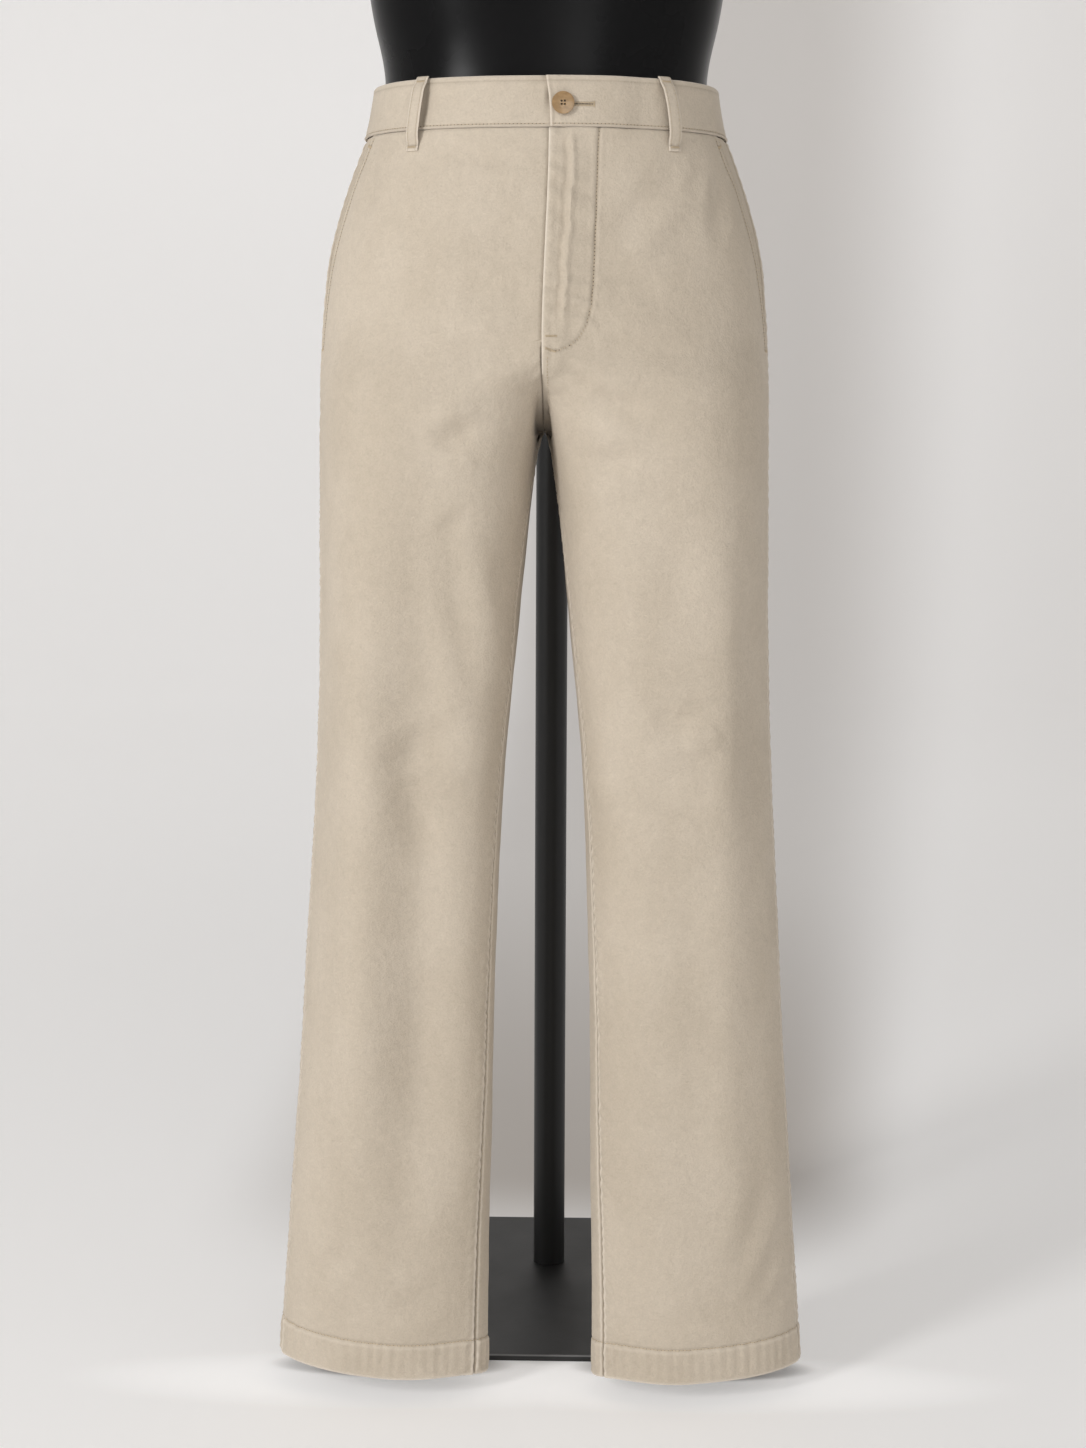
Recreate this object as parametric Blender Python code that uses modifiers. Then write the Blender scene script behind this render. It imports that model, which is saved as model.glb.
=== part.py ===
"""Straight-leg chino trousers worn on a limbless torso form with a rear upright and a base plate.

Metres, +Z up. +X is the wearer's left, -Y is the front. The origin is the centre of the base
plate's underside. Every cloth piece is a closed wall, worked out from one body surface: a stack
of rounded sections, one for each leg, which are clipped at the centre plane above the crotch.
"""
import math
from collections import namedtuple

import bmesh
import bpy
from mathutils import Matrix, Vector

# ---------------------------------------------------------------- driving dimensions
GARMENT_Y = -0.2275            # the trousers' own axis, in front of the plate's centre
CLOTH = 0.0015                 # twill wall
BAND_CLOTH = 0.0026            # waistband: two layers of twill with an interlining
BAND_PROUD = 0.0004            # the band stands this far out of the panels
SEAM_GAP = 0.0003              # gap between sewn pieces
HALF_GAP = SEAM_GAP / 2

HEM_HEIGHT = 0.0195            # mean height of the hem's edge
HEM_TILT = 0.0055              # the outer end of the hem is higher by this, the inner end lower
HEM_RISE = 0.0040              # the front of the hem rises towards the inseam by this
HEM_RISE_ANGLE = 142.0
HEM_RISE_SPREAD = 30.0
HEM_UNEVEN = 0.0005            # the left leg hangs lower by this, the right one higher
HEM_FADE = 0.30                # height over which the hem's tilt and rise die out
LEG_TURN = 0.012               # a leg's inner side is turned to the front by this at the hem
LEG_TURN_FADE = 0.65
RIGHT_LEG_SPLAY = 0.0028       # the right leg stands further out at the hem than the left one
RIGHT_LEG_SPLAY_FADE = 0.75
CROTCH_HEIGHT = 0.8145
FLY_BOTTOM = 0.880
POCKET_BOTTOM = 0.880
THIGH_HEIGHT = 0.70
HIP_HEIGHT = 0.950             # from here down the section splits into two legs,
LEG_SPLIT = 0.090              # over this height
WAIST_SEAM = 1.048
BAND_TOP = 1.087

PANEL_COLUMNS = 13
BAND_COLUMNS = 27

OUTER_POWER = 2.3              # superellipse power of a section's outer half
INNER_POWER = 3.0              # and of a leg's flatter inner half at the thigh
HEM_INNER_POWER = 1.8          # which is narrower at the hem

# One row for each level of the body surface: half-width to the outer side, the inner side (below
# the crotch it is half the gap between the legs, above it the section runs on past the centre),
# and the depth to the front and to the back of the garment's axis.
Level = namedtuple("Level", "height outer inner front back")
LEVELS = (
    Level(0.010, 0.2237, 0.0438, 0.0448, 0.0468),
    Level(0.128, 0.2156, 0.0424, 0.0540, 0.0560),
    Level(0.234, 0.2084, 0.0406, 0.0618, 0.0640),
    Level(0.339, 0.2011, 0.0396, 0.0692, 0.0725),
    Level(0.442, 0.1943, 0.0368, 0.0766, 0.0815),
    Level(0.544, 0.1888, 0.0320, 0.0845, 0.0895),
    Level(0.644, 0.1853, 0.0226, 0.0930, 0.0985),
    Level(0.711, 0.1841, 0.0158, 0.0990, 0.1060),
    Level(0.780, 0.1830, 0.0085, 0.1050, 0.1130),
    Level(0.806, 0.1828, 0.0055, 0.1075, 0.1160),
    Level(0.8145, 0.1827, 0.0002, 0.1083, 0.1170),
    Level(0.825, 0.1824, -0.0020, 0.1092, 0.1180),
    Level(0.835, 0.1821, -0.0045, 0.1102, 0.1190),
    Level(0.845, 0.1820, -0.0100, 0.1112, 0.1205),
    Level(0.855, 0.1818, -0.0260, 0.1120, 0.1218),
    Level(0.866, 0.1815, -0.0550, 0.1128, 0.1230),
    Level(0.880, 0.1809, -0.1000, 0.1138, 0.1242),
    Level(0.900, 0.1798, -0.1480, 0.1147, 0.1252),
    Level(0.938, 0.1765, -0.1765, 0.1150, 0.1255),
    Level(0.970, 0.1708, -0.1708, 0.1142, 0.1245),
    Level(1.002, 0.1619, -0.1619, 0.1128, 0.1220),
    Level(1.034, 0.1507, -0.1507, 0.1110, 0.1180),
    Level(1.050, 0.1449, -0.1449, 0.1100, 0.1155),
    Level(1.066, 0.1411, -0.1411, 0.1085, 0.1125),
    Level(1.087, 0.1380, -0.1380, 0.1065, 0.1090),
)

# Where the seams run, as section angles in degrees: 0 is the outer side, 90 the front, 180 the
# inner side. The side seam sits a little to the front, and the inseam turns forward down the leg.
SeamLevel = namedtuple("SeamLevel", "height side inseam")
SEAMS = (
    SeamLevel(0.010, 14.0, 153.0),
    SeamLevel(0.450, 14.0, 157.0),
    SeamLevel(0.700, 13.0, 165.0),
    SeamLevel(0.8145, 12.0, 180.0),
    SeamLevel(0.880, 10.0, 180.0),
    SeamLevel(1.048, 0.5, 180.0),
)
POCKET_TOP_ANGLE = 22.0        # the slant opening's upper end, at the waist seam

# The fly: the left front laps over the right one. Its edge leans towards the wearer's left.
FLY_EDGE_TOP = 0.0050
FLY_UNDERLAP = 0.009           # the right front runs on below the left one
FLY_LIFT = CLOTH + 0.0006      # the left front is raised by this over the underlap
FLY_WIDTH = 0.043              # from the centre to the curved row of stitches
FLY_UNDERLAP_END = 0.887       # the underlap ends above the fly's lower end
FLY_LIFT_END = 0.852           # and the raised edge dies out below it

# The band's overlap at the button.
BAND_EDGE_TOP = 0.0025
BAND_EDGE_BOTTOM = 0.0060
BAND_UNDERLAP = 0.045
BAND_LIFT = BAND_CLOTH + 0.0006
BAND_LIFT_END = 0.078          # the raised end is level with the band again here

# Main folds, as soft troughs (depth) in the outer surface between two points of a panel.
Fold = namedtuple("Fold", "side face x0 z0 x1 z1 width depth")
FRONT = 1
BACK = -1
FOLDS = (
    Fold(-1, FRONT, 0.072, 0.740, 0.046, 0.600, 0.020, 0.0032),
    Fold(-1, FRONT, 0.128, 0.570, 0.052, 0.550, 0.016, 0.0028),
    Fold(-1, FRONT, 0.116, 0.545, 0.090, 0.470, 0.018, 0.0024),
    Fold(-1, FRONT, 0.130, 0.350, 0.125, 0.110, 0.030, 0.0030),
    Fold(-1, FRONT, 0.030, 0.872, 0.080, 0.862, 0.013, 0.0016),
    Fold(1, FRONT, 0.026, 0.838, 0.085, 0.824, 0.014, 0.0020),
    Fold(1, FRONT, 0.056, 0.556, 0.130, 0.530, 0.020, 0.0030),
    Fold(1, FRONT, 0.150, 0.725, 0.158, 0.635, 0.014, 0.0024),
    Fold(1, FRONT, 0.118, 0.330, 0.128, 0.130, 0.026, 0.0022),
    Fold(-1, BACK, 0.040, 0.800, 0.120, 0.770, 0.018, 0.0036),
    Fold(-1, BACK, 0.050, 0.560, 0.140, 0.530, 0.018, 0.0034),
    Fold(-1, BACK, 0.060, 0.480, 0.150, 0.505, 0.016, 0.0024),
    Fold(-1, BACK, 0.110, 0.330, 0.122, 0.120, 0.028, 0.0026),
    Fold(1, BACK, 0.045, 0.790, 0.125, 0.765, 0.018, 0.0034),
    Fold(1, BACK, 0.048, 0.540, 0.138, 0.560, 0.018, 0.0036),
    Fold(1, BACK, 0.070, 0.500, 0.145, 0.470, 0.016, 0.0022),
    Fold(1, BACK, 0.120, 0.300, 0.128, 0.110, 0.026, 0.0026),
)
FOLD_EDGE_FADE = 0.35          # folds die out near the sides, where the section's sine is below this
FOLD_CENTRE_FADE = 0.020       # and near the centre plane

# Belt loops: a strip that stands off the band. One row for each level of its inner face.
LOOP_WIDTH = 0.0095
LOOP_CLOTH = 0.0014
LoopLevel = namedtuple("LoopLevel", "height stand_off")
LOOP_LEVELS = (
    LoopLevel(1.0320, 0.0001),
    LoopLevel(1.0370, 0.0003),
    LoopLevel(1.0430, 0.0022),
    LoopLevel(1.0520, 0.0031),
    LoopLevel(1.0650, 0.0034),
    LoopLevel(1.0780, 0.0029),
    LoopLevel(1.0840, 0.0014),
    LoopLevel(1.0885, 0.0008),
)
LOOP_FRONT_X = 0.1012          # at the loop's foot
LOOP_FRONT_LEAN = 0.0093       # its top is nearer the centre by this
LOOP_BACK_X = 0.0900
LOOP_CENTRE_BACK_X = 0.0

BUTTON_RADIUS = 0.00875
BUTTON_THICK = 0.0030
BUTTON_DISH = 0.0009           # the face inside the rim is lower by this
BUTTON_RIM = 0.0020
BUTTON_HOLE_RADIUS = 0.0008
BUTTON_HOLE_OFFSET = 0.0017
BUTTON_X = 0.0155
BUTTON_HEIGHT = 1.0655
BUTTON_SEAT = 0.0006

# The torso form. Below the band's top it lies inside the garment by these clearances (to the
# side, front and back of the cloth's outer face), and above it has its own sizes.
FORM_WALL = 0.0030
FORM_COLUMNS = 30
FormFit = namedtuple("FormFit", "height side front back")
FORM_FITS = (
    FormFit(0.874, 0.016, 0.016, 0.016),
    FormFit(0.880, 0.009, 0.009, 0.009),
    FormFit(0.898, 0.0056, 0.0052, 0.0052),
    FormFit(0.930, 0.0046, 0.0042, 0.0042),
    FormFit(0.965, 0.0046, 0.0040, 0.0040),
    FormFit(1.000, 0.0046, 0.0040, 0.0040),
    FormFit(1.030, 0.0052, 0.0038, 0.0038),
    FormFit(1.050, 0.0070, 0.0036, 0.0036),
    FormFit(1.087, 0.0084, 0.0036, 0.0036),
)
FormSize = namedtuple("FormSize", "height side front back")
FORM_SIZES = (
    FormSize(1.096, 0.1298, 0.1026, 0.1050),
    FormSize(1.115, 0.1325, 0.1030, 0.1050),
    FormSize(1.135, 0.1380, 0.1045, 0.1062),
    FormSize(1.160, 0.1424, 0.1070, 0.1085),
    FormSize(1.190, 0.1460, 0.1100, 0.1115),
    FormSize(1.218, 0.1472, 0.1115, 0.1130),
    FormSize(1.230, 0.1440, 0.1085, 0.1100),
    FormSize(1.237, 0.1360, 0.1005, 0.1020),
)
FORM_TOP = 1.2395

PLATE_SIZE = 0.365
PLATE_THICK = 0.006
PLATE_EDGE = 0.0012
UPRIGHT_RADIUS = 0.0150
UPRIGHT_Y = 0.055
UPRIGHT_BEND_RADIUS = 0.055
UPRIGHT_BEND_STEPS = 8
UPRIGHT_REACH_HEIGHT = 1.165   # height of the arm that runs forward to the form
SOCKET_RADIUS = 0.024
SOCKET_LENGTH = 0.030
SOCKET_SIDES = 28

# ---------------------------------------------------------------- materials (Principled)
Finish = namedtuple("Finish", "colour roughness metallic")
FINISHES = {
    "beige_twill": Finish((0.56, 0.49, 0.39), 0.90, 0.0),
    "pocket_twill": Finish((0.53, 0.46, 0.365), 0.90, 0.0),
    "button_tan": Finish((0.35, 0.22, 0.11), 0.35, 0.0),
    "gloss_black": Finish((0.012, 0.012, 0.013), 0.18, 0.0),
    "satin_black": Finish((0.016, 0.016, 0.016), 0.40, 0.0),
    "plate_grey": Finish((0.024, 0.024, 0.024), 0.50, 0.0),
}


def remove_old_objects():
    for old in list(bpy.data.objects):
        bpy.data.objects.remove(old, do_unlink=True)


def new_collection(name):
    collection = bpy.data.collections.new(name)
    bpy.context.scene.collection.children.link(collection)
    return collection


def make_finish(name):
    finish = FINISHES[name]
    material = bpy.data.materials.new(name)
    material.use_nodes = True
    shader = material.node_tree.nodes["Principled BSDF"]
    shader.inputs["Base Color"].default_value = (*finish.colour, 1.0)
    shader.inputs["Roughness"].default_value = finish.roughness
    shader.inputs["Metallic"].default_value = finish.metallic
    material.diffuse_color = (*finish.colour, 1.0)
    return material


# ---------------------------------------------------------------- numbers along tables
def smoothstep(value):
    value = min(1.0, max(0.0, value))
    return value * value * (3.0 - 2.0 * value)


def blend(start, end, share):
    return start + (end - start) * share


def slope_between(first, second, column):
    rise = getattr(second, column) - getattr(first, column)
    return rise / (second.height - first.height)


def slope_at(table, index, column):
    """Tangent that never overshoots: the harmonic mean of the two neighbouring slopes."""
    if index == 0:
        return slope_between(table[0], table[1], column)
    if index == len(table) - 1:
        return slope_between(table[-2], table[-1], column)
    before = slope_between(table[index - 1], table[index], column)
    after = slope_between(table[index], table[index + 1], column)
    if before * after <= 0.0:
        return 0.0
    return 2.0 * before * after / (before + after)


def along(table, height, column):
    """Smooth value of a table's column at a height, as a cubic between its rows."""
    height = min(table[-1].height, max(table[0].height, height))
    index = 0
    while index < len(table) - 2 and height > table[index + 1].height:
        index += 1
    low = table[index]
    high = table[index + 1]
    span = high.height - low.height
    share = (height - low.height) / span
    start = getattr(low, column)
    end = getattr(high, column)
    start_slope = slope_at(table, index, column) * span
    end_slope = slope_at(table, index + 1, column) * span
    square = share * share
    cube = square * share
    return (
        (2 * cube - 3 * square + 1) * start
        + (cube - 2 * square + share) * start_slope
        + (3 * square - 2 * cube) * end
        + (cube - square) * end_slope
    )


# ---------------------------------------------------------------- the body surface
def section_point(height, angle):
    """Point of one leg's section, with x counted from the centre plane to that leg's side."""
    outer = along(LEVELS, height, "outer")
    inner = min(outer, max(-outer, along(LEVELS, height, "inner")))
    middle = (outer + inner) / 2
    reach = (outer - inner) / 2
    cosine = math.cos(math.radians(angle))
    sine = math.sin(math.radians(angle))
    power = OUTER_POWER
    if cosine < 0.0:
        leg_power = blend(HEM_INNER_POWER, INNER_POWER, smoothstep(height / THIGH_HEIGHT))
        power = blend(OUTER_POWER, leg_power, smoothstep((HIP_HEIGHT - height) / LEG_SPLIT))
    depth = along(LEVELS, height, "front") if sine >= 0.0 else along(LEVELS, height, "back")
    across = math.copysign(abs(cosine) ** (2 / power), cosine)
    turned = LEG_TURN * across * (1.0 - smoothstep(height / LEG_TURN_FADE))
    y = turned - depth * math.copysign(abs(sine) ** (2 / power), sine)
    return middle + reach * across, y


def outward(height, angle):
    """Level direction that points out of the section at an angle."""
    step = 0.05
    x0, y0 = section_point(height, angle - step)
    x1, y1 = section_point(height, angle + step)
    along_x = x1 - x0
    along_y = y1 - y0
    length = math.hypot(along_x, along_y)
    return -along_y / length, along_x / length


def fold_depth(side, x, height, angle):
    """Depth of the main folds at a point of one side's surface."""
    sine = math.sin(math.radians(angle))
    face = FRONT if sine >= 0.0 else BACK
    total = 0.0
    for fold in FOLDS:
        if fold.side != side or fold.face != face:
            continue
        run_x = fold.x1 - fold.x0
        run_z = fold.z1 - fold.z0
        length = math.hypot(run_x, run_z)
        share = ((x - fold.x0) * run_x + (height - fold.z0) * run_z) / length ** 2
        nearest = min(1.0, max(0.0, share))
        away = math.hypot(x - fold.x0 - run_x * nearest, height - fold.z0 - run_z * nearest)
        total += fold.depth * math.exp(-((away / fold.width) ** 2))
    return total * smoothstep(abs(sine) / FOLD_EDGE_FADE) * smoothstep(x / FOLD_CENTRE_FADE)


def hem_lift(side, height, angle):
    """Height that the hem's tilt, rise and unevenness add at a point of a leg."""
    fade = 1.0 - smoothstep((height - HEM_HEIGHT) / HEM_FADE)
    tilt = HEM_TILT * math.cos(math.radians(angle))
    from_rise = (angle % 360.0 - HEM_RISE_ANGLE) / HEM_RISE_SPREAD
    rise = HEM_RISE * math.exp(-from_rise ** 2)
    return fade * (tilt + rise - side * HEM_UNEVEN)


def surface(side, height, angle, out=0.0):
    """World point of the garment's outer surface, moved out along its level normal."""
    x, y = section_point(height, angle)
    out_x, out_y = outward(height, angle)
    move = out - fold_depth(side, x, height, angle)
    z = height + hem_lift(side, height, angle)
    if side < 0:
        x += RIGHT_LEG_SPLAY * (1.0 - smoothstep(height / RIGHT_LEG_SPLAY_FADE))
    return Vector((side * (x + out_x * move), GARMENT_Y + y + out_y * move, z))


def angle_at_x(height, x, face=FRONT):
    """Section angle at which the surface is x from the centre plane, or the inner side."""
    low = 0.0
    high = 180.0
    for _ in range(40):
        middle = (low + high) / 2
        if section_point(height, face * middle)[0] > x:
            low = middle
        else:
            high = middle
    return face * high


def angle_past(height, angle, distance):
    """Section angle that lies a distance along the surface from another angle."""
    turn = math.copysign(1.0, distance)
    start_x, start_y = section_point(height, angle)
    low = 0.0
    high = 20.0
    for _ in range(40):
        middle = (low + high) / 2
        x, y = section_point(height, angle + turn * middle)
        if math.hypot(x - start_x, y - start_y) < abs(distance):
            low = middle
        else:
            high = middle
    return angle + turn * high


# ---------------------------------------------------------------- where the seams run
def side_seam(height):
    return along(SEAMS, height, "side")


def pocket_slant(height):
    """Angle of the front panel's outer edge: the slant opening, or the side seam below it."""
    if height <= POCKET_BOTTOM:
        return side_seam(height)
    rise = (height - POCKET_BOTTOM) / (WAIST_SEAM - POCKET_BOTTOM)
    return blend(side_seam(POCKET_BOTTOM), POCKET_TOP_ANGLE, rise ** 1.25)


def fly_edge(height):
    rise = smoothstep((height - FLY_BOTTOM) / (WAIST_SEAM - FLY_BOTTOM))
    return max(HALF_GAP, FLY_EDGE_TOP * rise)


def left_front_end(height):
    if height < CROTCH_HEIGHT:
        return angle_past(height, along(SEAMS, height, "inseam"), -HALF_GAP)
    return angle_at_x(height, fly_edge(height))


def right_front_end(height):
    if height < FLY_UNDERLAP_END:
        return left_front_end(height)
    return angle_at_x(height, -(fly_edge(height) + FLY_UNDERLAP))


def back_end(height):
    if height < CROTCH_HEIGHT:
        inseam = angle_past(height, along(SEAMS, height, "inseam"), HALF_GAP)
        return inseam - 360.0
    return angle_at_x(height, HALF_GAP, BACK)


def front_start(height):
    return angle_past(height, pocket_slant(height), HALF_GAP)


def back_start(height):
    return angle_past(height, side_seam(height), -HALF_GAP)


def fly_lift(height, x):
    """How far the left front stands over the underlap of the right one."""
    flat_to = fly_edge(height) + FLY_UNDERLAP + 0.004
    width = FLY_WIDTH * (0.35 + 0.65 * smoothstep((height - FLY_BOTTOM) / 0.05))
    width = max(width, flat_to + 0.012)
    across = smoothstep((width - x) / (width - flat_to))
    down = smoothstep((height - FLY_LIFT_END) / (FLY_BOTTOM - FLY_LIFT_END))
    return FLY_LIFT * across * down


# ---------------------------------------------------------------- walls from grids
def spread_angles(height, first, last, columns):
    """Angles that split the surface between two angles into equal lengths."""
    samples = 60
    angles = [blend(first, last, index / samples) for index in range(samples + 1)]
    lengths = [0.0]
    for before, after in zip(angles, angles[1:]):
        x0, y0 = section_point(height, before)
        x1, y1 = section_point(height, after)
        lengths.append(lengths[-1] + math.hypot(x1 - x0, y1 - y0))
    result = []
    index = 0
    for column in range(columns):
        target = lengths[-1] * column / (columns - 1)
        while index < samples - 1 and lengths[index + 1] < target:
            index += 1
        share = (target - lengths[index]) / (lengths[index + 1] - lengths[index])
        result.append(blend(angles[index], angles[index + 1], min(1.0, max(0.0, share))))
    return result


def wall_mesh(name, outer, inner):
    """Closed wall between two equal grids of points: both faces and the rim between them."""
    mesh = bmesh.new()
    faces = []
    sheets = []
    for grid in (outer, inner):
        sheets.append([[mesh.verts.new(point) for point in row] for row in grid])
    rows = len(outer)
    columns = len(outer[0])
    for row in range(rows - 1):
        for column in range(columns - 1):
            for sheet in sheets:
                corner_a = sheet[row][column]
                corner_b = sheet[row][column + 1]
                corner_c = sheet[row + 1][column + 1]
                corner_d = sheet[row + 1][column]
                faces.append((corner_a, corner_b, corner_c))
                faces.append((corner_a, corner_c, corner_d))
    border = [(0, column) for column in range(columns)]
    border += [(row, columns - 1) for row in range(1, rows)]
    border += [(rows - 1, column) for column in range(columns - 2, -1, -1)]
    border += [(row, 0) for row in range(rows - 2, 0, -1)]
    for (row, column), (next_row, next_column) in zip(border, border[1:] + border[:1]):
        outer_here = sheets[0][row][column]
        outer_next = sheets[0][next_row][next_column]
        inner_next = sheets[1][next_row][next_column]
        inner_here = sheets[1][row][column]
        faces.append((outer_here, outer_next, inner_next))
        faces.append((outer_here, inner_next, inner_here))
    for corners in faces:
        mesh.faces.new(corners)
    bmesh.ops.recalc_face_normals(mesh, faces=mesh.faces)
    data = bpy.data.meshes.new(name)
    mesh.to_mesh(data)
    mesh.free()
    return data


def add_object(name, data, finish, collection, parent=None):
    item = bpy.data.objects.new(name, data)
    collection.objects.link(item)
    item.data.materials.clear()
    item.data.materials.append(finish)
    item.parent = parent
    return item


def smooth(item, degrees=40.0):
    item.data.shade_smooth()
    item.data.set_sharp_from_angle(angle=math.radians(degrees))


def panel_rows():
    """Heights of the panels' rows, closer together at the crotch and at the fly's lower end."""
    leg_rows = 19
    leg = [blend(HEM_HEIGHT, 0.782, index / leg_rows) for index in range(leg_rows + 1)]
    crotch = [0.798, 0.808, CROTCH_HEIGHT, 0.8185, 0.826, 0.835, 0.844, FLY_LIFT_END, 0.866]
    fly = [FLY_BOTTOM, FLY_UNDERLAP_END]
    hip = [0.906, 0.932, 0.962, 0.992, 1.021, WAIST_SEAM - HALF_GAP]
    return leg + crotch + fly + hip


def panel_angles(start, end):
    return [
        spread_angles(height, start(height), end(height), PANEL_COLUMNS) for height in panel_rows()
    ]


def panel_mesh(name, side, angle_rows, lift=None):
    outer = []
    inner = []
    for height, angles in zip(panel_rows(), angle_rows):
        lifts = [0.0 if lift is None else lift(height, section_point(height, a)[0]) for a in angles]
        outer.append([surface(side, height, a, up) for a, up in zip(angles, lifts)])
        inner.append([surface(side, height, a, up - CLOTH) for a, up in zip(angles, lifts)])
    return wall_mesh(name, outer, inner)


# ---------------------------------------------------------------- the garment's pieces
def make_panels(finish, collection, parent):
    """Two fronts and two backs. Returns the angles of their columns for what lies on them."""
    back_angles = panel_angles(back_start, back_end)
    left_angles = panel_angles(front_start, left_front_end)
    right_angles = panel_angles(front_start, right_front_end)
    pieces = (
        ("front_left", 1, left_angles, fly_lift),
        ("front_right", -1, right_angles, None),
        ("back_left", 1, back_angles, None),
        ("back_right", -1, back_angles, None),
    )
    for name, side, angle_rows, lift in pieces:
        data = panel_mesh(name, side, angle_rows, lift)
        smooth(add_object(name, data, finish, collection, parent))
    return left_angles, right_angles, back_angles


def make_pocket_facing(name, side, front_angles, back_angles, finish, collection, parent):
    """Cloth behind a slant opening: it lies below the edges of both panels, on their columns."""
    depth = CLOTH + SEAM_GAP
    visible_columns = 4
    outer = []
    inner = []
    for height, front_row, back_row in zip(panel_rows(), front_angles, back_angles):
        if height < POCKET_BOTTOM:
            continue
        level = height - SEAM_GAP if height > 1.0 and height == panel_rows()[-1] else height
        shown = [
            blend(back_row[0], front_row[0], index / (visible_columns - 1))
            for index in range(visible_columns)
        ]
        angles = [back_row[1]] + shown + [front_row[1]]
        outer.append([surface(side, level, a, -depth) for a in angles])
        inner.append([surface(side, level, a, -depth - CLOTH) for a in angles])
    smooth(add_object(name, wall_mesh(name, outer, inner), finish, collection, parent))


def band_mesh(name, side, front_end, lift=None):
    """Half of the waistband, from the centre back round the side to the front."""
    heights = [WAIST_SEAM + HALF_GAP, blend(WAIST_SEAM, BAND_TOP, 0.5), BAND_TOP]
    outer = []
    inner = []
    for height in heights:
        first = angle_at_x(height, HALF_GAP, BACK)
        last = angle_at_x(height, front_end(height))
        angles = spread_angles(height, first, last, BAND_COLUMNS)
        lifts = [0.0 if lift is None else lift(section_point(height, a)[0], a) for a in angles]
        face = [BAND_PROUD + up for up in lifts]
        outer.append([surface(side, height, a, up) for a, up in zip(angles, face)])
        inner.append([surface(side, height, a, up - BAND_CLOTH) for a, up in zip(angles, face)])
    return wall_mesh(name, outer, inner)


def band_edge(height):
    share = (height - WAIST_SEAM) / (BAND_TOP - WAIST_SEAM)
    return blend(BAND_EDGE_BOTTOM, BAND_EDGE_TOP, share)


def band_lift(x, angle=90.0):
    if angle < 0.0:
        return 0.0
    return BAND_LIFT * smoothstep((BAND_LIFT_END - x) / (BAND_LIFT_END - BAND_UNDERLAP - 0.006))


def make_waistband(finish, collection, parent):
    left = band_mesh("waistband_left", 1, band_edge, band_lift)
    right = band_mesh("waistband_right", -1, lambda height: -BAND_UNDERLAP)
    for data in (left, right):
        smooth(add_object(data.name, data, finish, collection, parent))


def make_belt_loop(name, side, foot_x, top_x, face, finish, collection, parent):
    """Strip from below the waist seam to the band's top edge, standing off the band."""
    foot = LOOP_LEVELS[0].height
    top = LOOP_LEVELS[-1].height
    outer = []
    inner = []
    for level in LOOP_LEVELS:
        height = min(level.height, BAND_TOP)
        rise = (level.height - foot) / (top - foot)
        centre = angle_at_x(height, blend(foot_x, top_x, rise), face)
        angles = [
            angle_past(height, centre, -LOOP_WIDTH / 2),
            centre,
            angle_past(height, centre, LOOP_WIDTH / 2),
        ]
        lift = band_lift(blend(foot_x, top_x, rise)) if side > 0 and face == FRONT else 0.0
        above = Vector((0.0, 0.0, level.height - height))
        near = BAND_PROUD + lift + level.stand_off
        outer.append([surface(side, height, a, near + LOOP_CLOTH) + above for a in angles])
        inner.append([surface(side, height, a, near) + above for a in angles])
    smooth(add_object(name, wall_mesh(name, outer, inner), finish, collection, parent))


def make_belt_loops(finish, collection, parent):
    front_top_x = LOOP_FRONT_X - LOOP_FRONT_LEAN
    loops = (
        ("belt_loop_front_right", -1, LOOP_FRONT_X, front_top_x, FRONT),
        ("belt_loop_front_left", 1, LOOP_FRONT_X, front_top_x, FRONT),
        ("belt_loop_back_right", -1, LOOP_BACK_X, LOOP_BACK_X, BACK),
        ("belt_loop_back_left", 1, LOOP_BACK_X, LOOP_BACK_X, BACK),
        ("belt_loop_centre_back", 1, LOOP_CENTRE_BACK_X, LOOP_CENTRE_BACK_X, BACK),
    )
    for name, side, foot_x, top_x, face in loops:
        make_belt_loop(name, side, foot_x, top_x, face, finish, collection, parent)


def cut(item, cutter):
    difference = item.modifiers.new("cut_" + cutter.name, "BOOLEAN")
    difference.operation = "DIFFERENCE"
    difference.solver = "EXACT"
    difference.object = cutter


def hide_cutter(cutter):
    cutter.hide_render = True
    cutter.display_type = "WIRE"


def button_place():
    """Matrix that puts a disc's back on the raised band, facing out."""
    angle = angle_at_x(BUTTON_HEIGHT, BUTTON_X)
    out = BAND_PROUD + BAND_LIFT
    here = surface(1, BUTTON_HEIGHT, angle, out)
    above = surface(1, BUTTON_HEIGHT + 0.004, angle_at_x(BUTTON_HEIGHT + 0.004, BUTTON_X), out)
    beside = surface(1, BUTTON_HEIGHT, angle_past(BUTTON_HEIGHT, angle, -0.004), out)
    right = (beside - here).normalized()
    up = (above - here).normalized()
    facing = right.cross(up).normalized()
    up = facing.cross(right).normalized()
    turn = Matrix((right, up, facing)).transposed().to_4x4()
    return Matrix.Translation(here + facing * BUTTON_SEAT) @ turn


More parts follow.
